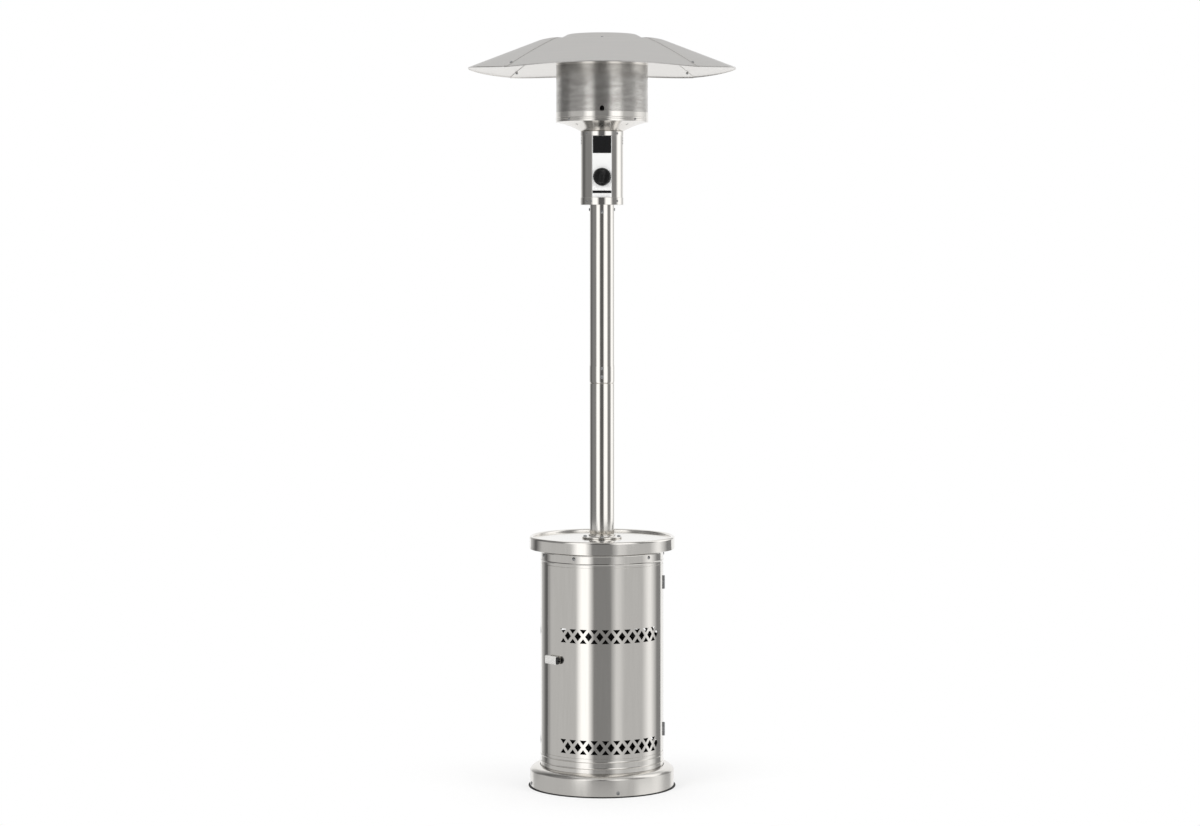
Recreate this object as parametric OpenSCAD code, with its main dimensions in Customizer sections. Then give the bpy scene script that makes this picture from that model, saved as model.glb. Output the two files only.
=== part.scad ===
// Free-standing gas patio heater: weighted base, tank housing with a hinged door, round table,
// two-piece pole, control head, burner with an emitter screen, and a four-panel reflector.
// Origin: centre of the base on the ground, +Z up, the control panel faces -Y.
// An azimuth is measured from the front (-Y) towards +X.

/* [Overall] */
// Height from the ground to the top of the cap
total_h = 2298.7; // [2200:0.1:2400]
// Height of the table's rim
table_h = 764.5; // [740:0.1:800]
// Height of the joint between the two poles
joint_h = 1230; // [1100:1:1350]

/* [Base] */
// How far the base cover reaches past the housing
base_reach = 32; // [24:1:70]
// Height at which the base cover's wall turns in
base_wall_h = 51; // [40:1:56]
// Height of the base cover's inner edge
base_h = 66; // [62:1:76]
// Radius of the base cover's rounded shoulder
shoulder_r = 32; // [26:1:60]
// How far the dark edge trim reaches past the base cover
trim_reach = 5; // [2:0.5:8]
// Width of the edge trim
trim_w = 20; // [12:1:30]
// Height of the edge trim
trim_h = 3; // [2:0.5:4]
// Thickness of the base plate
plate_t = 2; // [1.5:0.1:3]
// Height of the base plate's turned-up rim
rim_h = 20; // [16:1:26]
// Radius of the raised seat for the gas cylinder
seat_r = 150; // [110:1:155]
// How far the seat is raised
seat_rise = 2; // [1.5:0.1:3]
// Height of the ballast ring
ballast_h = 36; // [20:1:40]
// Radial width of the ballast ring
ballast_w = 22; // [12:1:24]
// Height of the cover screws above the ground
cover_screw_h = 13.6; // [10:0.1:20]

/* [Housing] */
// Outer diameter of the tank housing
housing_d = 376; // [360:1:390]
// Thickness of the sheet metal
sheet_t = 1; // [0.8:0.1:1.2]
// Top of the lower band
lower_band_h = 110; // [100:1:120]
// From the upper band's bottom up to the table's rim
upper_band_h = 81.5; // [72:0.5:100]
// How far the bands' lips reach behind the door and the shell
lip_h = 8; // [5:1:12]
// How far a bead on the bands stands out
bead_out = 1.3; // [0.8:0.1:1.6]
// Height of a bead
bead_h = 5; // [4:0.5:7]
// Azimuth of the door's middle
door_az = 11; // [0:1:20]
// Half of the angle that the door spans
door_half_a = 72.4; // [65:0.1:76]
// Gap round the door
door_gap = 1.2; // [0.8:0.1:1.6]
// Width of a post
post_w = 30; // [26:1:34]
// Depth of a post's flange
post_d = 14; // [10:1:18]
// Thickness of a post's metal
post_t = 1.5; // [1.2:0.1:2]

/* [Vents] */
// Angle between two vent openings of one kind
vent_pitch_a = 10.39; // [9:0.01:12]
// Number of vent units on the door
door_vents = 10; // [6:1:10]
// Number of vent units on the back shell
shell_vents = 17; // [8:1:17]
// Height of a row of vents
vent_h = 42; // [34:1:46]
// Width of a triangular opening
tri_w = 22; // [16:0.5:24]
// Height of a triangular opening
tri_h = 13.8; // [10:0.1:16]
// Width of a diamond opening
diamond_w = 22; // [16:0.5:23]
// Height of a diamond opening
diamond_h = 28; // [24:1:34]
// Middle of the lower row of vents above the lower band
low_vent_up = 34; // [28:1:50]
// Middle of the upper row of vents below the upper band
high_vent_down = 206; // [180:1:240]

/* [Hinges and latch] */
// Height of a hinge
hinge_h = 40; // [32:1:50]
// Middle of the lower hinge above the lower band
low_hinge_up = 65; // [50:1:110]
// Middle of the upper hinge below the upper band
high_hinge_down = 59.5; // [34:0.5:80]
// Radius of a hinge knuckle
knuckle_r = 3.5; // [3:0.1:4]
// Radius of a hinge pin
pin_r = 1.6; // [1.2:0.1:1.8]
// Width of a hinge leaf
leaf_w = 20; // [14:1:26]
// Thickness of a hinge leaf
leaf_t = 1.2; // [0.8:0.1:1.3]
// The latch's turning axis below the upper band
latch_down = 283; // [260:1:320]
// Azimuth of the latch's turning axis
latch_az = -49.5; // [-51:0.5:-46]
// Length of the latch handle
latch_l = 62; // [60:1:84]
// Height of the latch handle
latch_w = 25; // [18:1:28]
// Thickness of the latch handle
latch_t = 12; // [8:1:16]
// Length of the latch handle's dark end
latch_end_l = 9; // [8:1:20]
// Length of the latch tongue from the turning axis
tongue_l = 42; // [38:1:44]

/* [Table] */
// How far the table reaches past the housing
table_reach = 34.25; // [24:0.05:50]
// Height of the table's skirt
skirt_h = 38.5; // [30:0.5:50]
// Depth of the recess in the table's top
recess_d = 7.5; // [5:0.5:10]
// Radius of the table's rounded rim
lip_r = 6.5; // [4:0.5:8]
// Thickness of the support plate under the table
support_t = 2; // [1.5:0.1:3]
// Depth of the support plate's turned-down edge
support_edge_h = 54; // [50:1:58]

/* [Pole] */
// Outer diameter of the lower pole
pole_d = 75.6; // [70:0.1:80]
// Thickness of the poles
pole_t = 1.5; // [1.2:0.1:2]
// Length of the neck that the upper pole slips over
neck_l = 70; // [50:1:90]
// Height of the upper pole's swollen end
swell_h = 50; // [30:1:60]
// How far the swollen end stands out
swell_out = 0.9; // [0.5:0.1:1.5]
// Radial width of the pole flange
flange_w = 23.7; // [20:0.1:30]
// Thickness of the pole flange
flange_t = 5; // [4:0.5:8]
// From the pole flange's edge in to the circle of its bolts
flange_bolt_in = 10; // [8:0.5:11]

/* [Head] */
// Height of the head's housing
head_h = 224; // [200:1:240]
// Diameter of the head's housing
head_d = 130; // [124:1:136]
// Height of the lower collar
low_collar_h = 22; // [16:1:26]
// Height of the upper collar
top_collar_h = 13.4; // [10:0.1:18]
// Width of the control panel
panel_w = 59; // [50:1:62]
// Thickness of the control panel
panel_t = 1.5; // [1:0.1:2]
// Height of the knob above the head's bottom
knob_h = 84.7; // [76:0.1:92]
// Diameter of the knob
knob_d = 55; // [46:1:57]
// How far the knob pushes in
knob_travel = 4; // [3:0.5:4]
// Height of the bare badge
badge_h = 52.5; // [40:0.5:56]
// Height of the dark stripe
stripe_h = 8; // [4:0.5:12]
// Height of the stripe above the head's bottom
stripe_up = 35; // [30:1:44]

/* [Burner and emitter] */
// Diameter of the emitter screen
screen_d = 280.6; // [260:0.1:300]
// Height of the bowl's rim above the head's housing
bowl_h = 29; // [22:1:38]
// Height of the band round the bowl's rim
band_h = 29; // [22:1:36]
// Height of the emitter's top above the bowl's rim
emitter_h = 183; // [150:1:200]
// Radius of the burner head
burner_r = 60; // [50:1:70]
// Height of the burner head
burner_h = 35; // [25:1:50]
// Radius of the mixing tube
mixer_r = 13.5; // [12:0.5:16]

/* [Reflector] */
// Diameter of the reflector
reflector_d = 820.4; // [780:0.1:860]
// Slope of a panel along its middle
slope_a = 20.8; // [16:0.1:24]
// Radius of a panel's curve
panel_r = 830; // [700:10:1200]
// From the cap's edge out to a panel's fold, along its middle
fold_out = 33; // [22:1:54]
// Height of the reflector's flat above the emitter's top
reflector_up = 66.1; // [50:0.1:80]
// Thickness of a reflector panel
panel_sheet = 0.8; // [0.6:0.1:1.2]
// Width of the flap that laps over the next panel
flap_w = 14; // [10:1:20]
// From the reflector's edge in to the seam screws
seam_screw_in = 22.2; // [22:0.1:60]
// Height of the cap
cap_h = 18.5; // [14:0.5:26]
// Radius of the cap's top
cap_top_r = 103; // [90:1:110]
// Radial width of the cap's slope
cap_slope_w = 34; // [24:1:40]
// From the foot of the cap's slope out to the circle of cap screws
cap_screw_out = 12; // [8:0.5:15]

/* [Gas line] */
// Radius of the gas hose
hose_r = 5; // [4:0.5:6]
// Distance of the gas hose in front of the pole's axis
hose_y = 20; // [16:1:24]
// From the support plate down to the hose's joint at the regulator
hose_down = 154; // [110:1:190]
// Radius of the regulator
regulator_r = 28; // [22:1:34]
// Radius of the tank nut
nut_r = 19; // [18:0.5:22]
// Radius of the tank nut's thread
nut_thread_r = 16; // [14:0.5:16.5]

/* [Hidden] */
$fn = 96;
wide_fn = 256;
over = 1;
gap = 0.3;
fit_gap = 0.05;
hole_gap = 0.2;
slip_gap = 0.1;
big = 1000;

steel = [0.76, 0.75, 0.73];
dark_steel = [0.45, 0.45, 0.45];
black = [0.06, 0.06, 0.06];
brass = [0.78, 0.62, 0.3];

// Base
housing_r = housing_d / 2;
housing_in_r = housing_r - sheet_t;
base_r = housing_r + base_reach;
base_in_r = base_r - sheet_t;
trim_r = base_r + trim_reach;
rim_r = base_in_r - gap;
rim_t = plate_t;
plate_top = trim_h + plate_t;
base_mouth_r = housing_r + door_gap;
base_lip_h = 8;
screw_azimuths = [-77.3, 12.7, 102.7, 192.7];

// Housing
band_lip_r = housing_in_r - gap;
band_lip_in_r = band_lip_r - sheet_t;
table_r = housing_r + table_reach;
table_floor = table_h - recess_d;
table_under = table_floor - sheet_t;
support_z = table_under - support_t;
post_reach = band_lip_r - leaf_t - gap;
post_y = sqrt(post_reach * post_reach - post_w * post_w / 4);
post_foot_l = 25;
post_bolt_r = 3;
post_bolt_share = 0.62;
post_bolt_y = post_y - post_foot_l * post_bolt_share;
bolt_head_share = 1.8;
bolt_head_h = 4;
door_az0 = door_az - door_half_a;
door_az1 = door_az + door_half_a;
seam_a = door_gap / housing_r * 180 / PI;
post_half_a = asin(post_w / 2 / post_reach);
post_azimuths = [door_az0 - post_half_a - seam_a, door_az1 + post_half_a + seam_a, door_az + 180];
upper_band_z = table_h - upper_band_h;
low_vent_z = lower_band_h + low_vent_up;
high_vent_z = upper_band_z - high_vent_down;
door_z0 = lower_band_h + door_gap;
door_z1 = upper_band_z - door_gap;
low_bead_shares = [0.34, 0.78];
top_bead_shares = [0.23, 0.84];
low_beads = [for (share = low_bead_shares) base_h + (lower_band_h - base_h) * share];
top_beads = [for (share = top_bead_shares) upper_band_z + (table_h - skirt_h - upper_band_z) * share];
bead_ball = (bead_h * bead_h / 4 + bead_out * bead_out) / (2 * bead_out);
band_screw_share = 0.61;
band_screw_z = upper_band_z + (table_h - skirt_h - upper_band_z) * band_screw_share;
band_screw_azimuths = [door_az - 81.3, door_az - 37.9, door_az + 37.9, door_az + 81.3,
  door_az + 139, door_az + 180, door_az + 221];
small_head_r = 5.5;
small_head_h = 3;
small_shank_r = 2;
small_shank_l = 3.4;

// Hinges and latch
hinge_az = door_az1;
knuckle_out_share = 0.63;
hinge_r = housing_r + knuckle_r * knuckle_out_share;
knuckle_gap = 0.3;
knuckle_share = 0.3;
web_x = knuckle_r - leaf_t;
leaf_r = band_lip_r - leaf_t;
web_a = asin(web_x / leaf_r);
leaf_a = asin(leaf_w / leaf_r);
hinge_notch_gap = 0.6;
hinge_notch_w = knuckle_r + hinge_notch_gap;
pin_head_share = 0.8;
pin_head_h = 1;
hinge_zs = [lower_band_h + low_hinge_up, upper_band_z - high_hinge_down];
latch_z = upper_band_z - latch_down;
latch_bore_share = 0.6;
latch_bore_l = latch_t * latch_bore_share;
latch_shaft_r = 4;
latch_stand = 3;
latch_d0 = housing_r + latch_stand;
tongue_w = 12;
tongue_t = 2.5;
tongue_in = 14.5;
tongue_d = housing_in_r - tongue_in;
latch_washer_r = 10;

// Table and pole
pole_r = pole_d / 2;
pole_in_r = pole_r - pole_t;
table_hole_edge = 5.3;
table_hole_r = pole_in_r - table_hole_edge;
neck_gap = 0.4;
neck_r = pole_in_r - neck_gap;
neck_in_r = neck_r - pole_t;
taper_h = 2;
upper_in_r = neck_r + hole_gap;
upper_r = upper_in_r + pole_t;
flange_bore_r = pole_r + slip_gap;
flange_collar_t = 4;
flange_collar_r = flange_bore_r + flange_collar_t;
flange_r = pole_r + flange_w;
flange_bolt_circle_r = flange_r - flange_bolt_in;
flange_collar_h = 12;
flange_bolt_r = 3.9;
flange_head_r = 6.5;
flange_head_h = 4;
flange_nut_r = 7.5;
flange_nut_h = 6;
flange_azimuths = [0, 90, 180, 270];
hose_hole_edge = 1;
hose_hole_r = neck_in_r - hose_hole_edge;
joint_screw_shares = [0.3, 0.67];
joint_screw_heights = [for (share = joint_screw_shares) joint_h + neck_l * share];

// Head
cap_top_z = total_h;
reflector_flat_z = cap_top_z - cap_h - panel_sheet - gap;
emitter_z1 = reflector_flat_z - reflector_up;
bowl_z1 = emitter_z1 - emitter_h;
head_z = bowl_z1 - bowl_h - head_h;
head_r = head_d / 2;
head_in_r = head_r - sheet_t;
collar_in_r = head_r + gap;
collar_r = collar_in_r + sheet_t;
inner_rim_r = head_in_r - gap;
inner_rim_in_r = inner_rim_r - sheet_t;
spigot_r = upper_in_r - gap;
spigot_t = 1.3;
spigot_in_r = spigot_r - spigot_t;
spigot_l = 37;
head_plate_t = 2;
head_rim_h = 20;
head_screw_side_d = 14.4;
head_screw_front_d = 21.6;
collar_azimuths = [-45, 45, 135, 225];
collar_screw_r = 1.8;
collar_head_r = 3.5;
collar_head_h = 2;
panel_in = 7;
panel_y = head_r - panel_in;
panel_z0 = head_z + low_collar_h + gap;
panel_z1 = head_z + head_h - top_collar_h - gap;
panel_return_l = 10;
panel_cut_gap = 0.7;
panel_cut_w = panel_w / 2 + panel_cut_gap;
badge_t = 0.8;
badge_side_edge = 1.65;
badge_top_edge = 0.8;
badge_w = panel_w - badge_side_edge * 2;
badge_z1 = panel_z1 - badge_top_edge;
stripe_t = 0.5;
stripe_side_edge = 1;
stripe_w = panel_w - stripe_side_edge * 2;
vent_slot_w = 14;
vent_slot_h = 3;
vent_slot_step = 8;
vent_slot_azimuths = [-80, 80];
vent_slots = 3;
vent_slot_down = 37;
vent_slot_z = head_z + head_h - vent_slot_down;

// Valve and knob
knob_z = head_z + knob_h;
spindle_r = 4;
spindle_hole_r = 6;
knob_rest_gap = 0.5;
knob_gap = knob_travel + knob_rest_gap;
knob_y = panel_y + knob_gap;
knob_r = knob_d / 2;
knob_skirt_t = 4;
knob_grip_t = 14;
knob_grip_w = 15;
knob_grip_in = 5.6;
knob_tilt = -10;
knob_bore_l = 11;
bracket_t = 1.5;
valve_front_y = panel_y - panel_t - bracket_t;
valve_nose_l = 5;
valve_body_l = 44;
valve_tail_l = 15;
valve_body_y = valve_front_y - valve_nose_l;
valve_back_y = valve_body_y - valve_body_l;
valve_tail_y = valve_back_y - valve_tail_l;
valve_r = 16;
valve_nose_r = 11;
valve_tail_r = 10;
plug_r = 9;
plug_cover_l = 10;
plug_l = 28;
plug_y0 = valve_body_y - plug_cover_l;
plug_y1 = plug_y0 - plug_l;
plug_slot_w = 2.4;
plug_slot_h = 7.8;
plug_slot_l = 13;
blade_l = 6;
blade_gap = 0.1;
spindle_y = plug_y0 + knob_travel + gap;
passage_r = 3;
inlet_r = 8;
inlet_down = 35;
outlet_r = 7;
outlet_up = 33;
bracket_h = 56;
bracket_w = panel_w - panel_t * 2 - gap * 2;
bracket_y = valve_front_y;
bracket_tab_l = 6;
jet_r = 6;
jet_h = 15;
jet_tip_r = 3.5;
jet_tip_h = 4;
jet_bore_r = 0.9;
switch_size = [14, 16, 26];
switch_in = 26;
switch_x = head_in_r - switch_in;

// Burner and emitter
pan_z = head_z + head_h - top_collar_h + gap;
pan_hole_r = mixer_r + gap;
bowl_z0 = head_z + head_h + gap;
screen_r = screen_d / 2;
screen_in_r = screen_r - sheet_t;
bowl_rim_r = screen_r + gap;
bowl_rim_in_r = bowl_rim_r - sheet_t;
bowl_rim_h = 10;
bowl_arc_r = 250;
bowl_steps = 10;
bowl_slot_in = 32.3;
bowl_slot_r = screen_r - bowl_slot_in;
bowl_slot_l = 9;
bowl_slot_w = 4;
band_in_r = bowl_rim_r + gap;
band_r = band_in_r + sheet_t;
emitter_azimuths = [-45, 45, 135, 225];
emitter_screw_up = 6;
emitter_screw_z = bowl_z1 + emitter_screw_up;
emitter_head_r = 4;
emitter_head_h = 2.5;
screen_z0 = bowl_z1 + bowl_rim_h;
top_rim_h = 11;
top_rim_in_r = screen_r + gap;
top_rim_r = top_rim_in_r + sheet_t;
sight_w = 13;
sight_h = 18;
sight_up = 36.6;
sight_z = bowl_z1 + sight_up;
burner_up = 25;
burner_z0 = bowl_z1 + burner_up;
burner_wall = 1;
burner_ports = 24;
burner_port_r = 2.5;
burner_port_down = 7.5;
mixer_wall = 1.5;
mixer_gap = 4;
mixer_z0 = knob_z + outlet_up + jet_h + jet_tip_h + mixer_gap;
burner_foot_r = 28;
burner_foot_t = 2;
foot_top = pan_z + sheet_t + burner_foot_t;
pilot_away = 12;
pilot_y = burner_r + pilot_away;
pilot_r = 7;
pilot_h = 25;
pilot_tube_r = 3;
pilot_tube_l = 10;
pilot_tab_w = 34;
pilot_tab_t = 1.5;
pilot_tab_down = 6;
pilot_tab_z = burner_z0 - pilot_tab_down;
pilot_post_in = 0.5;
pilot_post_y = burner_r - pilot_post_in;
pilot_foot_lap = 8;
pilot_foot_y = burner_foot_r - pilot_foot_lap;
probe_x = 12;
probe_r = 2;
probe_foot_r = 4;
electrode_r = 1;
probe_l = 37;
probe_down = 15;
ceramic_r = 3.5;
ceramic_l = 22;

// Reflector
reflector_r = reflector_d / 2;
lap_lift = panel_sheet + gap;
over_top_z = reflector_flat_z + lap_lift;
cap_foot_r = cap_top_r + cap_slope_w;
cap_screw_r = cap_foot_r + cap_screw_out;
panel_tuck = 12;
panel_in_r = cap_foot_r - panel_tuck;
hub_edge_w = 13;
hub_r = cap_screw_r + hub_edge_w;
hub_t = 1.5;
hub_top = reflector_flat_z - panel_sheet;
hub_z0 = hub_top - hub_t;
hub_hole_r = 60;
block_h = 200;
cap_sheet = 0.8;
cap_slant_share = 1.5;
cap_slant = cap_sheet * cap_slant_share;
cap_edge_w = 7;
cap_flange_r = cap_screw_r + cap_edge_w;
cap_round = 4;
fold_r = cap_flange_r + fold_out;
seam_screw_r = reflector_r - seam_screw_in;
cap_bolt_r = 2.5;
cap_head_r = 5;
cap_head_h = 3;
cap_bolt_l = 11;
seam_bolt_r = 2;
seam_head_r = 5;
seam_head_h = 2.5;
seam_nut_h = 3;
seam_nut_r = 4;
stud_in = 30.3;
stud_circle_r = screen_r - stud_in;
stud_r = 4;
stud_end_r = 3;
stud_nut_r = 6;
stud_nut_h = 4;
stud_end_l = 8;

// Gas line
hose_z = support_z - hose_down;
hose_top = knob_z - inlet_down;
regulator_t = 24;
regulator_y0 = -hose_y - regulator_t / 2;
regulator_neck_r = 7;
regulator_neck_h = 17;
regulator_neck_sink = 2;
regulator_z = hose_z - regulator_neck_h - regulator_r + regulator_neck_sink;
spout_r = 6;
spout_l = 18;
spout_flange_r = 7.5;
spout_flange_t = 3;
nut_gap_l = 4;
nut_wall = 12;
nut_l = 32;
nut_flutes = 12;
nut_flute_r = 2;

// Common shapes

// Turns what is made at the front to an azimuth.
module at_azimuth(az) {
  rotate([0, 0, az]) children();
}

// Stands what is made along +Z out from the axis at the front, at a height.
module outward(z, y = 0) {
  translate([0, -y, z]) rotate([90, 0, 0]) children();
}

module ring(r_in, r_out, z0, z1) {
  rotate_extrude() translate([r_in, z0]) square([r_out - r_in, z1 - z0]);
}

module ring_part(r_in, r_out, z0, z1, az0, az1) {
  rotate([0, 0, az0 - 90])
    rotate_extrude(angle = az1 - az0)
      translate([r_in, z0]) square([r_out - r_in, z1 - z0]);
}

// A domed head on z = 0 and a shank below it.
module dome_screw(head_r, head_h, shank_r, shank_l) {
  ball_r = (head_r * head_r + head_h * head_h) / (2 * head_h);
  intersection() {
    translate([0, 0, head_h - ball_r]) sphere(r = ball_r);
    cylinder(r = head_r, h = head_h);
  }
  translate([0, 0, -shank_l]) cylinder(r = shank_r, h = shank_l + head_h / 2);
}

module hole_at(az, z, r, y) {
  at_azimuth(az) outward(z, y) cylinder(r = r, h = big);
}

// One vent unit: two triangles that point at each other, and the diamond beside them.
module vent_triangles() {
  half_h = vent_h / 2;
  for (side = [-1, 1])
    polygon([[-tri_w / 2, side * half_h], [tri_w / 2, side * half_h], [0, side * (half_h - tri_h)]]);
}

module vent_diamond() {
  polygon([[-diamond_w / 2, 0], [0, -diamond_h / 2], [diamond_w / 2, 0], [0, diamond_h / 2]]);
}

module vent_row(az0, units, z) {
  for (i = [0:units - 1]) {
    at_azimuth(az0 + i * vent_pitch_a)
      outward(z, housing_in_r - over) linear_extrude(height = sheet_t + over * 2) vent_triangles();
    at_azimuth(az0 + (i + 0.5) * vent_pitch_a)
      outward(z, housing_in_r - over) linear_extrude(height = sheet_t + over * 2) vent_diamond();
  }
}

// Base

module edge_trim() {
  color(black) ring(trim_r - trim_w, trim_r, 0, trim_h);
}

// The seat is pressed up out of the plate, so the plate is hollow below it.
module base_plate() {
  color(dark_steel)
    difference() {
      union() {
        translate([0, 0, trim_h]) cylinder(r = rim_r, h = plate_t);
        ring(rim_r - rim_t, rim_r, trim_h, trim_h + rim_h);
        translate([0, 0, trim_h]) cylinder(r = seat_r, h = plate_t + seat_rise);
      }
      translate([0, 0, trim_h - over]) cylinder(r = seat_r - plate_t, h = seat_rise + over);
      for (az = screw_azimuths) hole_at(az, cover_screw_h, small_shank_r + hole_gap, housing_r);
      for (az = post_azimuths)
        at_azimuth(az) translate([0, -post_bolt_y, 0])
          cylinder(r = post_bolt_r + hole_gap, h = plate_top + over);
    }
}

module ballast_ring() {
  color(dark_steel)
    ring(rim_r - rim_t - gap - ballast_w, rim_r - rim_t - gap, plate_top, plate_top + ballast_h);
}

// The shoulder's arc runs from the wall's top to the mouth, on a circle of shoulder_r.
module base_profile(inset) {
  foot = [base_r, base_wall_h];
  mouth = [base_mouth_r, base_h];
  span = foot - mouth;
  chord = norm(span);
  rise = sqrt(shoulder_r * shoulder_r - chord * chord / 4);
  middle = (foot + mouth) / 2;
  centre = middle - rise * [-span[1], span[0]] / chord;
  intersection() {
    union() {
      translate(centre) circle(r = shoulder_r - inset);
      translate([0, trim_h - over]) square([centre[0], base_wall_h - trim_h + over]);
      translate([0, trim_h - over]) square([base_r - inset, base_wall_h - trim_h + over]);
    }
    translate([base_mouth_r + inset, trim_h - (inset > 0 ? over : 0)])
      square([base_r - base_mouth_r, base_h]);
    translate([0, trim_h - (inset > 0 ? over : 0)]) square([base_r - inset, base_h]);
  }
}

module base_cover() {
  color(steel)
    difference() {
      rotate_extrude()
        difference() {
          base_profile(0);
          base_profile(sheet_t);
          square([base_mouth_r + sheet_t + gap, base_h - base_lip_h]);
        }
      for (az = screw_azimuths) hole_at(az, cover_screw_h, small_shank_r + hole_gap, housing_r);
    }
}

module cover_screws() {
  color(dark_steel)
    for (az = screw_azimuths)
      at_azimuth(az) outward(cover_screw_h, base_r + slip_gap)
        dome_screw(small_head_r, small_head_h, small_shank_r, small_shank_l);
}

// Housing

// The flange is on the side away from the door; the middle of the back has it on the left.
module support_posts() {
  color(dark_steel)
    for (i = [0:len(post_azimuths) - 1]) {
      side = i == 1 ? 1 : -1;
      at_azimuth(post_azimuths[i])
        difference() {
          union() {
            translate([-post_w / 2, -post_y, plate_top]) cube([post_w, post_t, support_z - plate_top]);
            translate([side * (post_w / 2 - post_t / 2) - post_t / 2, -post_y, plate_top])
              cube([post_t, post_d, support_z - plate_top]);
            for (z = [plate_top, support_z - post_t])
              translate([-post_w / 2, -post_y, z]) cube([post_w, post_foot_l, post_t]);
          }
          translate([0, -post_bolt_y, 0]) cylinder(r = post_bolt_r + hole_gap, h = big);
        }
    }
}

module post_bolt() {
  translate([0, 0, -post_t - plate_t]) cylinder(r = post_bolt_r, h = post_t + plate_t + over);
  cylinder(r = post_bolt_r * bolt_head_share, h = bolt_head_h, $fn = 6);
}

module post_bolts() {
  color(dark_steel)
    for (az = post_azimuths)
      at_azimuth(az) translate([0, -post_bolt_y, 0]) {
        translate([0, 0, plate_top + post_t]) post_bolt();
        translate([0, 0, support_z - post_t]) mirror([0, 0, 1]) post_bolt();
      }
}

module beads(zs) {
  for (z = zs)
    intersection() {
      translate([housing_r - sheet_t / 2, z - bead_h]) square([bead_h, bead_h * 2]);
      translate([housing_r + bead_out - bead_ball, z]) circle(r = bead_ball);
    }
}

module lower_band() {
  color(steel)
    rotate_extrude() {
      polygon([
        [housing_in_r, plate_top], [housing_r, plate_top], [housing_r, lower_band_h],
        [band_lip_r, lower_band_h], [band_lip_r, lower_band_h + lip_h],
        [band_lip_in_r, lower_band_h + lip_h], [band_lip_in_r, lower_band_h - lip_h],
        [housing_in_r, lower_band_h - lip_h - sheet_t]
      ]);
      beads(low_beads);
    }
}

// The side is 1 for the back shell's edge and -1 for the door's.
module hinge_notches(side) {
  for (z = hinge_zs)
    at_azimuth(hinge_az)
      translate([side > 0 ? -over : -hinge_notch_w, -housing_r - over, z - hinge_h / 2 - knuckle_gap])
        cube([hinge_notch_w + over, sheet_t + over * 2, hinge_h + pin_head_h + knuckle_gap * 2]);
}

module back_shell() {
  az1 = door_az0 + 360 - seam_a / 2;
  az0 = door_az1 + seam_a / 2;
  row_a = (shell_vents - 0.5) * vent_pitch_a;
  color(steel)
    difference() {
      ring_part(housing_in_r, housing_r, lower_band_h + gap, upper_band_z - gap, az0, az1);
      for (z = [low_vent_z, high_vent_z]) vent_row((az0 + az1 - row_a) / 2, shell_vents, z);
      hinge_notches(1);
    }
}

module upper_band() {
  color(steel)
    difference() {
      union() {
        rotate_extrude()
          polygon([
            [housing_in_r, table_under - gap], [housing_r, table_under - gap],
            [housing_r, upper_band_z], [band_lip_r, upper_band_z],
            [band_lip_r, upper_band_z - lip_h], [band_lip_in_r, upper_band_z - lip_h],
            [band_lip_in_r, upper_band_z + lip_h], [housing_in_r, upper_band_z + lip_h + sheet_t]
          ]);
        rotate_extrude() beads(top_beads);
      }
      for (az = band_screw_azimuths)
        hole_at(az, band_screw_z, small_shank_r + hole_gap, post_y - post_d);
    }
}

module band_screws() {
  color(steel)
    for (az = band_screw_azimuths)
      at_azimuth(az) outward(band_screw_z, housing_r + slip_gap)
        dome_screw(small_head_r, small_head_h, small_shank_r, sheet_t * 2 + gap);
}

// Door

module door_panel() {
  az0 = door_az0 + seam_a / 2;
  az1 = door_az1 - seam_a / 2;
  row_a = (door_vents - 0.5) * vent_pitch_a;
  color(steel)
    difference() {
      ring_part(housing_in_r, housing_r, door_z0, door_z1, az0, az1);
      for (z = [low_vent_z, high_vent_z]) vent_row(door_az - row_a / 2, door_vents, z);
      hinge_notches(-1);
      hole_at(latch_az, latch_z, latch_shaft_r + fit_gap, housing_in_r - over);
    }
}

// The knuckle, the web beside it that passes through the seam, and the leaf behind the sheet.
// The side is 1 for the back shell's leaf and -1 for the door's.
module hinge_leaf(side, zs) {
  difference() {
    union() {
      for (z = zs) {
        translate([0, -hinge_r, z[0]]) cylinder(r = knuckle_r, h = z[1] - z[0]);
        translate([side > 0 ? web_x : -knuckle_r, -hinge_r, z[0]])
          cube([leaf_t, hinge_r - leaf_r, z[1] - z[0]]);
      }
      ring_part(leaf_r, band_lip_r, zs[0][0], zs[len(zs) - 1][1],
        side > 0 ? web_a : -leaf_a, side > 0 ? leaf_a : -web_a);
    }
    translate([0, -hinge_r, zs[0][0] - over]) cylinder(r = pin_r + fit_gap, h = hinge_h + over * 2);
  }
}

module body_hinge_leaves() {
  color(steel)
    for (z = hinge_zs)
      at_azimuth(hinge_az)
        hinge_leaf(1, [[z - hinge_h / 2, z - hinge_h / 2 + hinge_h * knuckle_share],
          [z + hinge_h / 2 - hinge_h * knuckle_share, z + hinge_h / 2]]);
}

module door_hinge_leaves() {
  middle = hinge_h / 2 - hinge_h * knuckle_share - knuckle_gap;
  color(steel)
    for (z = hinge_zs)
      at_azimuth(hinge_az) hinge_leaf(-1, [[z - middle, z + middle]]);
}

module hinge_pins() {
  color(steel)
    for (z = hinge_zs)
      at_azimuth(hinge_az)
        translate([0, -hinge_r, z - hinge_h / 2]) {
          cylinder(r = pin_r, h = hinge_h);
          translate([0, 0, hinge_h]) cylinder(r = knuckle_r * pin_head_share, h = pin_head_h);
        }
}

// Latch: a turning handle on a shaft through the door, with a tongue behind it.

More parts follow.
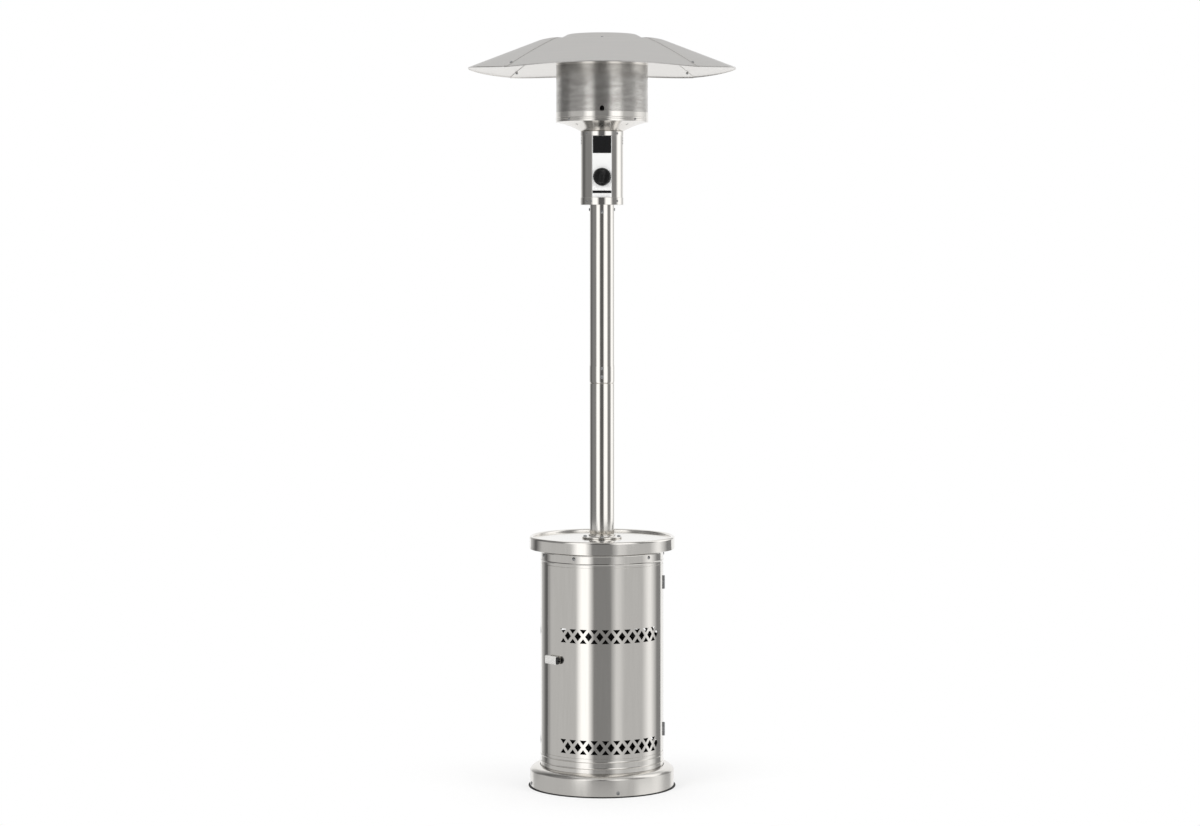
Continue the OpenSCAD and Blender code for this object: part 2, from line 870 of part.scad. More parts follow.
module latch_handle() {
  grip_l = latch_l - latch_end_l;
  color([0.85, 0.85, 0.84])
    at_azimuth(latch_az) {
      outward(latch_z, latch_d0)
        difference() {
          linear_extrude(height = latch_t)
            union() {
              translate([-latch_l / 2 + latch_t / 2, -latch_w / 2])
                square([grip_l - latch_t / 2, latch_w]);
              for (side = [-1, 1])
                translate([-latch_l / 2 + latch_t / 2, side * (latch_w - latch_t) / 2])
                  circle(r = latch_t / 2);
              translate([-latch_l / 2, -(latch_w - latch_t) / 2])
                square([latch_t / 2, latch_w - latch_t]);
            }
          translate([0, 0, -over]) cylinder(r = latch_shaft_r + fit_gap, h = latch_bore_l + over);
        }
    }
}

module latch_end() {
  color(black)
    at_azimuth(latch_az)
      outward(latch_z, latch_d0)
        intersection() {
          translate([latch_l / 2 - latch_end_l + slip_gap, -latch_w / 2, 0])
            cube([latch_end_l - slip_gap, latch_w, latch_t]);
          translate([latch_l / 2 - latch_w / 2, 0, 0]) cylinder(r = latch_w / 2, h = latch_t);
        }
}

module latch_cam() {
  color(dark_steel)
    at_azimuth(latch_az) {
      outward(latch_z, tongue_d) cylinder(r = latch_shaft_r, h = latch_d0 + latch_bore_l - tongue_d);
      outward(latch_z, tongue_d)
        linear_extrude(height = tongue_t)
          union() {
            circle(r = tongue_w / 2);
            translate([-tongue_w / 2, 0]) square([tongue_w, tongue_l - tongue_w / 2]);
            translate([0, tongue_l - tongue_w / 2]) circle(r = tongue_w / 2);
          }
      outward(latch_z, housing_r + slip_gap)
        cylinder(r = latch_washer_r, h = latch_stand - slip_gap * 2);
    }
}

// Table

module support_plate() {
  color(dark_steel)
    difference() {
      union() {
        ring(hose_hole_r, band_lip_r, support_z, table_under);
        ring(band_lip_in_r, band_lip_r, table_under - support_edge_h, table_under);
      }
      for (az = band_screw_azimuths)
        hole_at(az, band_screw_z, small_shank_r + hole_gap, post_y - post_d);
      for (az = post_azimuths)
        at_azimuth(az) translate([0, -post_bolt_y, 0]) cylinder(r = post_bolt_r + hole_gap, h = big);
      flange_bolt_holes();
    }
}

module flange_bolt_holes() {
  for (az = flange_azimuths)
    at_azimuth(az) translate([0, -flange_bolt_circle_r, 0]) cylinder(r = flange_bolt_r + hole_gap, h = big);
}

// The skirt, the rounded rim and the recessed top, as one pressing.
module table_top() {
  lip_z = table_h - lip_r;
  lip_x = table_r - lip_r;
  color(steel)
    difference() {
      rotate_extrude()
        union() {
          translate([table_r - sheet_t, table_h - skirt_h]) square([sheet_t, skirt_h - lip_r]);
          intersection() {
            difference() {
              translate([lip_x, lip_z]) circle(r = lip_r);
              translate([lip_x, lip_z]) circle(r = lip_r - sheet_t);
            }
            translate([lip_x - lip_r, lip_z]) square([lip_r * 2, lip_r]);
          }
          translate([lip_x - lip_r, table_under]) square([sheet_t, lip_z - table_under]);
          translate([table_hole_r, table_under]) square([lip_x - lip_r - table_hole_r + sheet_t, sheet_t]);
        }
      flange_bolt_holes();
    }
}

// Pole

module pole_flange() {
  color(steel)
    difference() {
      union() {
        ring(flange_bore_r, flange_r, table_floor, table_floor + flange_t);
        ring(flange_bore_r, flange_collar_r, table_floor, table_floor + flange_collar_h);
      }
      flange_bolt_holes();
    }
}

module flange_bolts() {
  top = table_floor + flange_t;
  bottom = support_z - flange_nut_h;
  color(steel)
    for (az = flange_azimuths)
      at_azimuth(az) translate([0, -flange_bolt_circle_r, 0]) {
        translate([0, 0, top]) dome_screw(flange_head_r, flange_head_h, flange_bolt_r, top - bottom);
        difference() {
          translate([0, 0, bottom]) cylinder(r = flange_nut_r, h = flange_nut_h, $fn = 6);
          translate([0, 0, bottom - over])
            cylinder(r = flange_bolt_r + slip_gap, h = flange_nut_h + over * 2);
        }
      }
}

module joint_holes() {
  for (z = joint_screw_heights)
    for (az = [0, 180]) hole_at(az, z, post_bolt_r + hole_gap, 0);
}

module lower_pole() {
  color(steel)
    difference() {
      rotate_extrude()
        polygon([
          [pole_in_r, table_floor], [pole_r, table_floor], [pole_r, joint_h],
          [neck_r, joint_h + taper_h], [neck_r, joint_h + neck_l], [neck_in_r, joint_h + neck_l],
          [neck_in_r, joint_h - taper_h], [pole_in_r, joint_h - taper_h * 2]
        ]);
      joint_holes();
    }
}

module upper_pole() {
  z0 = joint_h + taper_h + gap;
  color(steel)
    difference() {
      rotate_extrude()
        polygon([
          [upper_in_r, z0], [upper_r, z0], [upper_r + swell_out, z0 + taper_h * 2],
          [upper_r + swell_out, z0 + swell_h], [upper_r, z0 + swell_h + taper_h * 2],
          [upper_r, head_z], [upper_in_r, head_z]
        ]);
      joint_holes();
      head_screw_holes();
    }
}

module head_screw_holes() {
  for (az = [-90, 90]) hole_at(az, head_z - head_screw_side_d, small_shank_r + hole_gap, 0);
  for (az = [0, 180]) hole_at(az, head_z - head_screw_front_d, small_shank_r + hole_gap, 0);
}

module pole_screw(z, shank_r, shank_l, out) {
  outward(z, out) dome_screw(small_head_r, small_head_h, shank_r, shank_l);
}

module pole_screws() {
  joint_out = upper_r + swell_out + slip_gap;
  color(steel) {
    for (az = [0, 180]) {
      at_azimuth(az) {
        pole_screw(joint_screw_heights[0], post_bolt_r, joint_out - neck_in_r, joint_out);
        pole_screw(joint_screw_heights[1], post_bolt_r, joint_out - neck_in_r, joint_out);
        pole_screw(head_z - head_screw_front_d, small_shank_r, upper_r - spigot_in_r, upper_r + slip_gap);
      }
      at_azimuth(az + 90)
        pole_screw(head_z - head_screw_side_d, small_shank_r, upper_r - spigot_in_r, upper_r + slip_gap);
    }
  }
}

// Head

module head_base() {
  color(dark_steel)
    difference() {
      union() {
        ring(spigot_in_r, spigot_r, head_z - spigot_l, head_z);
        ring(spigot_in_r, inner_rim_r, head_z, head_z + head_plate_t);
        ring(inner_rim_in_r, inner_rim_r, head_z, head_z + head_rim_h);
      }
      head_screw_holes();
      collar_holes(low_collar_z, low_collar_azimuths);
    }
}

low_collar_z = head_z + low_collar_h / 2;
top_collar_z = head_z + head_h - top_collar_h / 2;
low_collar_azimuths = concat(collar_azimuths, [-30]);

module collar_holes(z, azimuths) {
  for (az = azimuths) hole_at(az, z, collar_screw_r + slip_gap, 0);
}

module lower_collar() {
  color(steel)
    difference() {
      ring(collar_in_r, collar_r, head_z, head_z + low_collar_h);
      collar_holes(low_collar_z, low_collar_azimuths);
    }
}

module head_housing() {
  color(steel)
    difference() {
      ring(head_in_r, head_r, head_z, head_z + head_h);
      translate([-panel_cut_w, -head_r - over, panel_z0 - gap])
        cube([panel_cut_w * 2, head_r, panel_z1 - panel_z0 + gap * 2]);
      collar_holes(low_collar_z, low_collar_azimuths);
      collar_holes(top_collar_z, collar_azimuths);
      for (az = vent_slot_azimuths)
        for (i = [0:vent_slots - 1])
          at_azimuth(az)
            translate([-vent_slot_w / 2, -head_r - over, vent_slot_z + i * vent_slot_step])
              cube([vent_slot_w, sheet_t + over * 2, vent_slot_h]);
    }
}

module upper_collar() {
  color(steel)
    difference() {
      ring(collar_in_r, collar_r, head_z + head_h - top_collar_h, head_z + head_h);
      collar_holes(top_collar_z, collar_azimuths);
    }
}

module collar_screws() {
  depth = collar_r - inner_rim_in_r;
  color(steel) {
    for (az = low_collar_azimuths)
      at_azimuth(az) outward(low_collar_z, collar_r + slip_gap)
        dome_screw(collar_head_r, collar_head_h, collar_screw_r, depth);
    for (az = collar_azimuths)
      at_azimuth(az) outward(top_collar_z, collar_r + slip_gap)
        dome_screw(collar_head_r, collar_head_h, collar_screw_r, depth);
  }
}

module control_panel() {
  color([0.93, 0.93, 0.92])
    difference() {
      union() {
        translate([-panel_w / 2, -panel_y, panel_z0]) cube([panel_w, panel_t, panel_z1 - panel_z0]);
        for (side = [-1, 1])
          translate([side * (panel_w - panel_t) / 2 - panel_t / 2, -panel_y, panel_z0])
            cube([panel_t, panel_return_l, panel_z1 - panel_z0]);
      }
      outward(knob_z, panel_y - panel_t - over) cylinder(r = spindle_hole_r, h = panel_t + over * 2);
    }
}

module bare_badge() {
  color(black)
    translate([-badge_w / 2, -panel_y - badge_t, badge_z1 - badge_h]) cube([badge_w, badge_t, badge_h]);
}

module panel_stripe() {
  color(black)
    translate([-stripe_w / 2, -panel_y - stripe_t, head_z + stripe_up])
      cube([stripe_w, stripe_t, stripe_h]);
}

// Knob and valve

module control_knob() {
  color(black)
    outward(knob_z, knob_y)
      difference() {
        union() {
          cylinder(r = knob_r, h = knob_skirt_t);
          translate([0, 0, knob_skirt_t])
            cylinder(r1 = knob_r - knob_skirt_t / 2, r2 = knob_r - knob_skirt_t, h = knob_skirt_t / 2);
          rotate([0, 0, knob_tilt])
            linear_extrude(height = knob_skirt_t + knob_grip_t)
              intersection() {
                circle(r = knob_r - knob_grip_in);
                square([knob_grip_w, knob_d], center = true);
              }
        }
        translate([0, 0, -over]) cylinder(r = spindle_r + fit_gap, h = knob_bore_l + over);
      }
}

module valve_spindle() {
  color(brass) {
    outward(knob_z, spindle_y) cylinder(r = spindle_r, h = knob_y + knob_bore_l - fit_gap - spindle_y);
    translate([-plug_slot_w / 2 + blade_gap, -spindle_y - over, knob_z - plug_slot_h / 2 + blade_gap])
      cube([plug_slot_w - blade_gap * 2, spindle_y - plug_y0 + blade_l + over,
        plug_slot_h - blade_gap * 2]);
  }
}

// The plug's side port points away from the inlet while the knob is off.
module valve_plug() {
  color(brass)
    difference() {
      outward(knob_z, plug_y1 + slip_gap) cylinder(r = plug_r, h = plug_y0 - plug_y1 - slip_gap * 2);
      translate([-plug_slot_w / 2, -plug_y0 - over, knob_z - plug_slot_h / 2])
        cube([plug_slot_w, plug_slot_l + over, plug_slot_h]);
      translate([-plug_r - over, -hose_y, knob_z])
        rotate([0, 90, 0]) cylinder(r = passage_r, h = plug_r + over);
      outward(knob_z, 0) cylinder(r = passage_r, h = hose_y);
    }
}

module gas_valve() {
  color(brass)
    difference() {
      union() {
        outward(knob_z, valve_back_y) cylinder(r = valve_r, h = valve_body_y - valve_back_y);
        outward(knob_z, valve_body_y - over) cylinder(r = valve_nose_r, h = valve_nose_l + over);
        outward(knob_z, valve_tail_y) cylinder(r = valve_tail_r, h = valve_back_y - valve_tail_y + over);
        translate([0, -hose_y, knob_z - inlet_down]) cylinder(r = inlet_r, h = inlet_down);
        translate([0, 0, knob_z]) cylinder(r = outlet_r, h = outlet_up);
      }
      outward(knob_z, plug_y1) cylinder(r = plug_r + fit_gap, h = plug_y0 - plug_y1);
      outward(knob_z, plug_y0 - over)
        cylinder(r = spindle_r + fit_gap, h = valve_front_y - plug_y0 + over * 2);
      outward(knob_z, 0) cylinder(r = passage_r, h = plug_y1 + over);
      translate([0, 0, knob_z]) cylinder(r = passage_r, h = outlet_up + over);
      translate([0, -hose_y, knob_z - inlet_down - over]) cylinder(r = passage_r, h = inlet_down);
    }
}

// Carries the valve between the control panel's returns.
module valve_bracket() {
  color(dark_steel)
    difference() {
      union() {
        translate([-bracket_w / 2, -bracket_y - bracket_t, knob_z - bracket_h / 2])
          cube([bracket_w, bracket_t, bracket_h]);
        for (side = [-1, 1])
          translate([side * (bracket_w - bracket_t) / 2 - bracket_t / 2, -bracket_y - bracket_t,
            knob_z - bracket_h / 2])
            cube([bracket_t, bracket_tab_l, bracket_h]);
      }
      outward(knob_z, bracket_y - over) cylinder(r = spindle_hole_r, h = bracket_t + over * 2);
    }
}

module tilt_switch() {
  color(black)
    translate([switch_x, -switch_size[1] / 2, head_z + head_plate_t]) cube(switch_size);
}

module gas_jet() {
  color(brass)
    translate([0, 0, knob_z + outlet_up])
      difference() {
        union() {
          cylinder(r = jet_r, h = jet_h, $fn = 6);
          translate([0, 0, jet_h]) cylinder(r = jet_tip_r, h = jet_tip_h);
        }
        translate([0, 0, -over]) cylinder(r = jet_bore_r, h = jet_h + jet_tip_h + over * 2);
      }
}

// Burner

module burner() {
  top = burner_z0 + burner_h;
  color(dark_steel)
    difference() {
      union() {
        ring(mixer_r - mixer_wall, mixer_r, mixer_z0, burner_z0 + burner_wall);
        ring(mixer_r - mixer_wall, burner_foot_r, pan_z + sheet_t, foot_top);
        ring(mixer_r - mixer_wall, burner_r, burner_z0, burner_z0 + burner_wall);
        ring(burner_r - burner_wall, burner_r, burner_z0, top);
        ring(0, burner_r, top - burner_wall, top);
      }
      for (i = [0:burner_ports - 1])
        at_azimuth(i * 360 / burner_ports)
          outward(top - burner_port_down, burner_r - burner_wall - over)
            cylinder(r = burner_port_r, h = burner_wall + over * 2);
    }
}

module pilot_burner() {
  tab_y1 = pilot_y + pilot_r;
  color(dark_steel)
    difference() {
      union() {
        translate([-pilot_r, -pilot_post_y, foot_top])
          cube([pilot_r * 2, pilot_post_y - pilot_foot_y, pilot_tab_t]);
        translate([-pilot_r, -pilot_post_y, foot_top])
          cube([pilot_r * 2, pilot_tab_t, pilot_tab_z - foot_top + pilot_tab_t]);
        translate([-pilot_tab_w / 2, -tab_y1, pilot_tab_z])
          cube([pilot_tab_w, tab_y1 - pilot_post_y + pilot_tab_t, pilot_tab_t]);
        translate([0, -pilot_y, pilot_tab_z - pilot_tube_l])
          cylinder(r = pilot_tube_r, h = pilot_tube_l + over);
        difference() {
          translate([0, -pilot_y, pilot_tab_z]) cylinder(r = pilot_r, h = pilot_h);
          translate([0, -pilot_y, pilot_tab_z + pilot_tab_t]) cylinder(r = pilot_r - sheet_t, h = pilot_h);
        }
      }
      translate([probe_x, -pilot_y, pilot_tab_z - over]) cylinder(r = probe_r + slip_gap, h = pilot_h);
      translate([-probe_x, -pilot_y, pilot_tab_z - over]) cylinder(r = ceramic_r + slip_gap, h = pilot_h);
    }
}

module thermocouple() {
  color([0.7, 0.45, 0.3])
    translate([probe_x, -pilot_y, pilot_tab_z - probe_down]) {
      cylinder(r = probe_r, h = probe_l);
      cylinder(r = probe_foot_r, h = probe_down - slip_gap);
    }
}

module ignition_electrode() {
  color([0.9, 0.9, 0.88])
    translate([-probe_x, -pilot_y, pilot_tab_z - probe_down]) {
      cylinder(r = ceramic_r, h = ceramic_l);
      cylinder(r = electrode_r, h = probe_l);
    }
}

// The bowl's flare is an arc that is steep at the head and nearly level at the rim.
function bowl_arc(share) =
  let (
    from = [head_in_r, bowl_z0],
    to = [bowl_rim_r, bowl_z1],
    chord = norm(to - from),
    rise = sqrt(bowl_arc_r * bowl_arc_r - chord * chord / 4),
    along = (to - from) / chord,
    across = [-along[1], along[0]],
    centre = (from + to) / 2 - rise * across,
    half_a = asin(chord / 2 / bowl_arc_r),
    a = half_a * (1 - 2 * share)
  )
  centre + bowl_arc_r * (cos(a) * across - sin(a) * along);

module bowl() {
  outer = [for (i = [0:bowl_steps]) bowl_arc(i / bowl_steps)];
  inner = [for (i = [0:bowl_steps]) bowl_arc(1 - i / bowl_steps) + [0, sheet_t]];
  color(steel)
    difference() {
      rotate_extrude()
        polygon(concat(
          [[pan_hole_r, pan_z], [inner_rim_r, pan_z], [inner_rim_r, bowl_z0]],
          outer,
          [[bowl_rim_r, bowl_z1 + bowl_rim_h], [bowl_rim_in_r, bowl_z1 + bowl_rim_h],
           [bowl_rim_in_r, bowl_z1 + sheet_t / 2]],
          [for (p = inner) if (p[0] < bowl_rim_in_r - sheet_t && p[0] > head_in_r + sheet_t) p],
          [[inner_rim_in_r, bowl_z0 + sheet_t], [inner_rim_in_r, pan_z + sheet_t],
           [pan_hole_r, pan_z + sheet_t]]
        ));
      collar_holes(top_collar_z, collar_azimuths);
      for (az = emitter_azimuths) {
        at_azimuth(az)
          translate([-bowl_slot_w / 2, -bowl_slot_r - bowl_slot_l / 2, bowl_z0])
            cube([bowl_slot_w, bowl_slot_l, bowl_h]);
        hole_at(az, emitter_screw_z, collar_screw_r + slip_gap, bowl_slot_r);
      }
    }
}

module burner_band() {
  color(steel)
    difference() {
      ring(band_in_r, band_r, bowl_z1, bowl_z1 + band_h);
      for (az = emitter_azimuths) hole_at(az, emitter_screw_z, collar_screw_r + slip_gap, bowl_slot_r);
    }
}

module emitter_screws() {
  color(steel)
    for (az = emitter_azimuths)
      at_azimuth(az) outward(emitter_screw_z, band_r + slip_gap)
        dome_screw(emitter_head_r, emitter_head_h, collar_screw_r, band_r - bowl_rim_in_r);
}

module emitter_screen() {
  color(steel)
    difference() {
      ring(screen_in_r, screen_r, screen_z0, emitter_z1 - sheet_t);
      outward(sight_z, 0) {
        translate([-sight_w / 2, -(sight_h - sight_w) / 2, 0]) cube([sight_w, sight_h - sight_w, big]);
        for (side = [-1, 1])
          translate([0, side * (sight_h - sight_w) / 2, 0]) cylinder(r = sight_w / 2, h = big);
      }
    }
}

module emitter_top() {
  color(steel)
    union() {
      ring(0, top_rim_r, emitter_z1 - sheet_t, emitter_z1);
      ring(top_rim_in_r, top_rim_r, emitter_z1 - top_rim_h, emitter_z1);
    }
}

// Reflector

module reflector_studs() {
  color(steel)
    for (az = emitter_azimuths)
      at_azimuth(az) translate([0, -stud_circle_r, 0]) {
        translate([0, 0, emitter_z1]) cylinder(r = stud_r, h = hub_z0 - emitter_z1);
        translate([0, 0, hub_z0 - over]) cylinder(r = stud_end_r, h = hub_t + stud_end_l + over);
        difference() {
          translate([0, 0, hub_top]) cylinder(r = stud_nut_r, h = stud_nut_h, $fn = 6);
          translate([0, 0, hub_top - over]) cylinder(r = stud_end_r + slip_gap, h = stud_nut_h + over * 2);
        }
      }
}

module hub_plate() {
  color(dark_steel)
    difference() {
      ring(hub_hole_r, hub_r, hub_z0, hub_top);
      cap_bolt_holes();
      for (az = emitter_azimuths)
        at_azimuth(az) translate([0, -stud_circle_r, 0]) cylinder(r = stud_end_r + slip_gap, h = total_h);
    }
}

module cap_bolt_holes() {
  for (az = flange_azimuths)
    at_azimuth(az) translate([0, -cap_screw_r, 0]) cylinder(r = cap_bolt_r + hole_gap, h = total_h + over);
}

// A panel is made along +X: the space under its outer face less the space under its inner face.
module panel_space(inset, grow) {
  reach = reflector_r + big / 2 + grow;
  intersection() {
    translate([-grow, -reach, reflector_flat_z - inset - block_h - grow])
      cube([reach, reach * 2, block_h + grow]);
    translate([fold_r, 0, reflector_flat_z])
      rotate([0, slope_a, 0])
        translate([-reach, 0, -panel_r])
          rotate([0, 90, 0]) cylinder(r = panel_r - inset, h = reach * 2, $fn = wide_fn);
  }
}

module panel_sheet_shape(lift) {
  translate([0, 0, lift])
    difference() {
      panel_space(0, 0);
      panel_space(panel_sheet, over);
    }
}

module panel_outline(points) {
  translate([0, 0, reflector_flat_z - block_h])
    linear_extrude(height = block_h + lap_lift * 2) polygon(points);
}

module panel_round() {
  ring(panel_in_r, reflector_r, reflector_flat_z - block_h, reflector_flat_z + lap_lift * 2,
    $fn = wide_fn);
}

module panel_sector(az, lift) {
  wide = reflector_r + over;
  rotate([0, 0, az - 90])
    intersection() {
      panel_sheet_shape(lift);
      panel_round();
      panel_outline([[0, 0], [wide, -wide], [wide, wide]]);
    }
}

// The strip that reaches past the seam and lies on the next panel. It is made in that panel's frame.
module panel_flap(az, side, lift) {
  wide = reflector_r + over;
  lap = flap_w * sqrt(2);
  rotate([0, 0, az - 90])
    intersection() {
      panel_sheet_shape(lift);
      panel_round();
      panel_outline([[0, 0], [wide, side * wide], [wide, side * (wide - lap)], [lap, 0]]);
    }
}

// The place of a seam screw on the under panel that faces an azimuth, and the screw's direction.
seam_screw_a = 45 - asin(flap_w / 2 / seam_screw_r);

module at_seam_screw(az, side) {
  u = seam_screw_r * cos(seam_screw_a);
  v = side * seam_screw_r * sin(seam_screw_a);
  bend_a = asin(v / panel_r);
  z = reflector_flat_z - (u - fold_r) * tan(slope_a) - panel_r * (1 - cos(bend_a)) / cos(slope_a);
  normal = [sin(slope_a) * cos(bend_a), sin(bend_a), cos(slope_a) * cos(bend_a)];
  rotate([0, 0, az - 90])
    translate([u, v, z])
      rotate(a = acos(normal[2]), v = cross([0, 0, 1], normal)) children();
}

module seam_screw_holes() {
  for (az = [0, 180])
    for (side = [-1, 1])
      at_seam_screw(az, side)
        translate([0, 0, -seam_nut_h]) cylinder(r = seam_bolt_r + hole_gap, h = seam_nut_h * 2);
}

module under_panel(az) {
  color([0.8, 0.8, 0.79])
    difference() {
      panel_sector(az, 0);
      seam_screw_holes();
      cap_bolt_holes();
    }
}

module over_panel(az) {
  color([0.8, 0.8, 0.79])
    difference() {
      union() {
        panel_sector(az, lap_lift);
        panel_flap(az - 90, 1, lap_lift);
        panel_flap(az + 90, -1, lap_lift);
      }
      seam_screw_holes();
      cap_bolt_holes();
    }
}

module front_panel() {
  under_panel(0);
}

module right_panel() {
  over_panel(90);
}

module back_panel() {
  under_panel(180);
}

module left_panel() {
  over_panel(270);
}

module reflector_screws() {
  flange_top = over_top_z + cap_sheet;
  color(dark_steel) {
    for (az = flange_azimuths)
      at_azimuth(az) translate([0, -cap_screw_r, flange_top])
        dome_screw(cap_head_r, cap_head_h, cap_bolt_r, cap_bolt_l);
    for (az = [0, 180])
      for (side = [-1, 1])
        at_seam_screw(az, side) {
          translate([0, 0, lap_lift + gap])
            dome_screw(seam_head_r, seam_head_h, seam_bolt_r, lap_lift + panel_sheet + gap * 2);
          translate([0, 0, -panel_sheet - gap - seam_nut_h])
            cylinder(r = seam_nut_r, h = seam_nut_h, $fn = 6);
        }
  }
}

module cap() {
  z0 = over_top_z;
  z1 = cap_top_z;
  color([0.8, 0.8, 0.79])
    difference() {
      rotate_extrude()
        polygon([
          [cap_flange_r, z0], [cap_flange_r, z0 + cap_sheet], [cap_foot_r, z0 + cap_sheet],
          [cap_top_r + cap_round, z1 - cap_round / 2], [cap_top_r, z1], [0, z1], [0, z1 - cap_sheet],
          [cap_top_r - cap_sheet, z1 - cap_sheet],
          [cap_top_r + cap_round - cap_slant, z1 - cap_round / 2 - cap_sheet],
          [cap_foot_r - cap_slant, z0]
        ]);
      cap_bolt_holes();
    }
}

// Gas line

module gas_hose() {
  color(black) translate([0, -hose_y, hose_z]) cylinder(r = hose_r, h = hose_top - hose_z);
}

module regulator() {
  spout_y = -regulator_y0 - regulator_t;
  color([0.6, 0.6, 0.62])
    union() {
      outward(regulator_z, spout_y) cylinder(r = regulator_r, h = regulator_t);
      translate([0, -hose_y, regulator_z]) cylinder(r = regulator_neck_r, h = hose_z - regulator_z);
      outward(regulator_z, spout_y - spout_l) cylinder(r = spout_r, h = spout_l + over);
      outward(regulator_z, spout_y - spout_l - spout_flange_t)
        cylinder(r = spout_flange_r, h = spout_flange_t);
    }
}

module tank_nut() {
  back = -regulator_y0 - regulator_t - nut_gap_l;
  color(black)
    outward(regulator_z, back - nut_l)
      difference() {
        cylinder(r = nut_r, h = nut_l);
        translate([0, 0, -over]) cylinder(r = spout_r + fit_gap, h = nut_l + over * 2);
        translate([0, 0, -over]) cylinder(r = nut_thread_r, h = nut_l - nut_wall + over);
        for (i = [0:nut_flutes - 1])
          rotate([0, 0, i * 360 / nut_flutes])
            translate([nut_r + nut_flute_r / 2, 0, -over]) cylinder(r = nut_flute_r, h = nut_l + over * 2);
      }
}

edge_trim();
base_plate();
ballast_ring();
base_cover();
cover_screws();
support_posts();
post_bolts();
lower_band();
back_shell();
upper_band();
band_screws();
door_panel();
body_hinge_leaves();
door_hinge_leaves();
hinge_pins();
latch_handle();
latch_end();
latch_cam();
support_plate();
table_top();
pole_flange();
flange_bolts();
lower_pole();
upper_pole();
pole_screws();
head_base();
lower_collar();
head_housing();
upper_collar();
collar_screws();
control_panel();
bare_badge();
panel_stripe();
control_knob();
valve_spindle();
valve_plug();
gas_valve();
valve_bracket();
tilt_switch();
gas_jet();
burner();
pilot_burner();
thermocouple();
ignition_electrode();
bowl();
burner_band();
emitter_screws();
emitter_screen();
emitter_top();
reflector_studs();
hub_plate();
front_panel();
right_panel();
back_panel();
left_panel();
reflector_screws();
cap();
gas_hose();
regulator();
tank_nut();
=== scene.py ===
# %% [markdown]
# # A gas patio heater
# The heater is mostly thin stainless sheet, rolled, spun and pressed, so its looks are almost all
# reflections. The solids come from the imported CAD model. This script lays smooth surfaces over the
# sheets that show, gives every piece a finish, the real one except for painted reflection on the
# control panel and the latch and painted shade inside the housing, and sets up a plain white studio.

# %% Load the frame
import math

import bpy
import numpy as np
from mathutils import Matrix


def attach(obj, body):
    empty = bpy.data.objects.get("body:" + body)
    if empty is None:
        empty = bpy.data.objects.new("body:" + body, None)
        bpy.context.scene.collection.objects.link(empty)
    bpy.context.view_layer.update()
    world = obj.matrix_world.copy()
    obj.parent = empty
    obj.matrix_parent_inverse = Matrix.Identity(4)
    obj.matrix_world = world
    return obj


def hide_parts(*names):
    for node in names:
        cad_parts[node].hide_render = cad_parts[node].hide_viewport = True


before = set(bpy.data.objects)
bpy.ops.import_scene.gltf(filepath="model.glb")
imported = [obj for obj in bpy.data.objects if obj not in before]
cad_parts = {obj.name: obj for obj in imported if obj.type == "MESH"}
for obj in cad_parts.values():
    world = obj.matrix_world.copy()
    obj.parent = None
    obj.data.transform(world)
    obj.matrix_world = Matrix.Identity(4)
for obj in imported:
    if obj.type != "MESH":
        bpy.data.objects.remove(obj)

scene = bpy.context.scene
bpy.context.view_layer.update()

# %% [markdown]
# The surfaces below take their sizes from the CAD solids that they stand for. Most solids are round
# about the pole's axis, so an inner and an outer radius, a foot and a top say nearly all of a ring.


# %% Measure a CAD node
def measure(name):
    """Least and greatest distance from the pole's axis, then least and greatest height, all in mm."""
    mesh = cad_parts[name].data
    points = np.empty(3 * len(mesh.vertices))
    mesh.vertices.foreach_get("co", points)
    x, y, z = 1000 * points.reshape(-1, 3).T
    radius = np.hypot(x, y)
    return [round(float(size), 2) for size in (radius.min(), radius.max(), z.min(), z.max())]


print("the door's radii, foot and top are", measure("door_panel"), "mm")

# %% [markdown]
# Colours are written as sRGB hex values, the way a paint chart gives them, and Blender's shaders want
# linear light. One function does the change. A second one adds a node with its settings and its
# links in a single line, which keeps each material short enough to read at once.


# %% Colour and node helpers
def linear(code):
    """sRGB to linear: v / 12.92 for the darkest values, else ((v + 0.055) / 1.055) to the power 2.4."""
    v = np.array([int(code[i:i + 2], 16) for i in (0, 2, 4)]) / 255
    v = np.where(v <= 0.04045, v / 12.92, ((v + 0.055) / 1.055) ** 2.4)
    return (*map(float, v), 1.0)


def add(tree, kind, inputs=None, **settings):
    """Adds a node. An input that is a socket is linked, and so is a node's first output. Any other
    value is set."""
    item = tree.nodes.new(kind)
    for key, value in settings.items():
        setattr(item, key, value)
    for key, value in (inputs or {}).items():
        value = value.outputs[0] if isinstance(value, bpy.types.Node) else value
        if isinstance(value, bpy.types.NodeSocket):
            tree.links.new(value, item.inputs[key])
        else:
            item.inputs[key].default_value = value
    return item


def blank_material(name):
    """A new material and its empty tree."""
    material = bpy.data.materials.new(name)
    material.use_nodes = True
    material.node_tree.nodes.clear()
    return material, material.node_tree


# %% [markdown]
# The photograph was taken nearly level from about nine metres away with a long lens, and the frame
# hangs lower than the lens axis. A level camera with a small shift keeps the pole upright, as a
# product photographer's shift lens does.

# %% Camera
FOCAL_PX = 2950
IMAGE_PX = (1200, 826)
SENSOR_MM = 36
CAMERA_AWAY = 9.04
CAMERA_UP = 1.657
HORIZON_PX = 244.0
AXIS_PX = 602.0

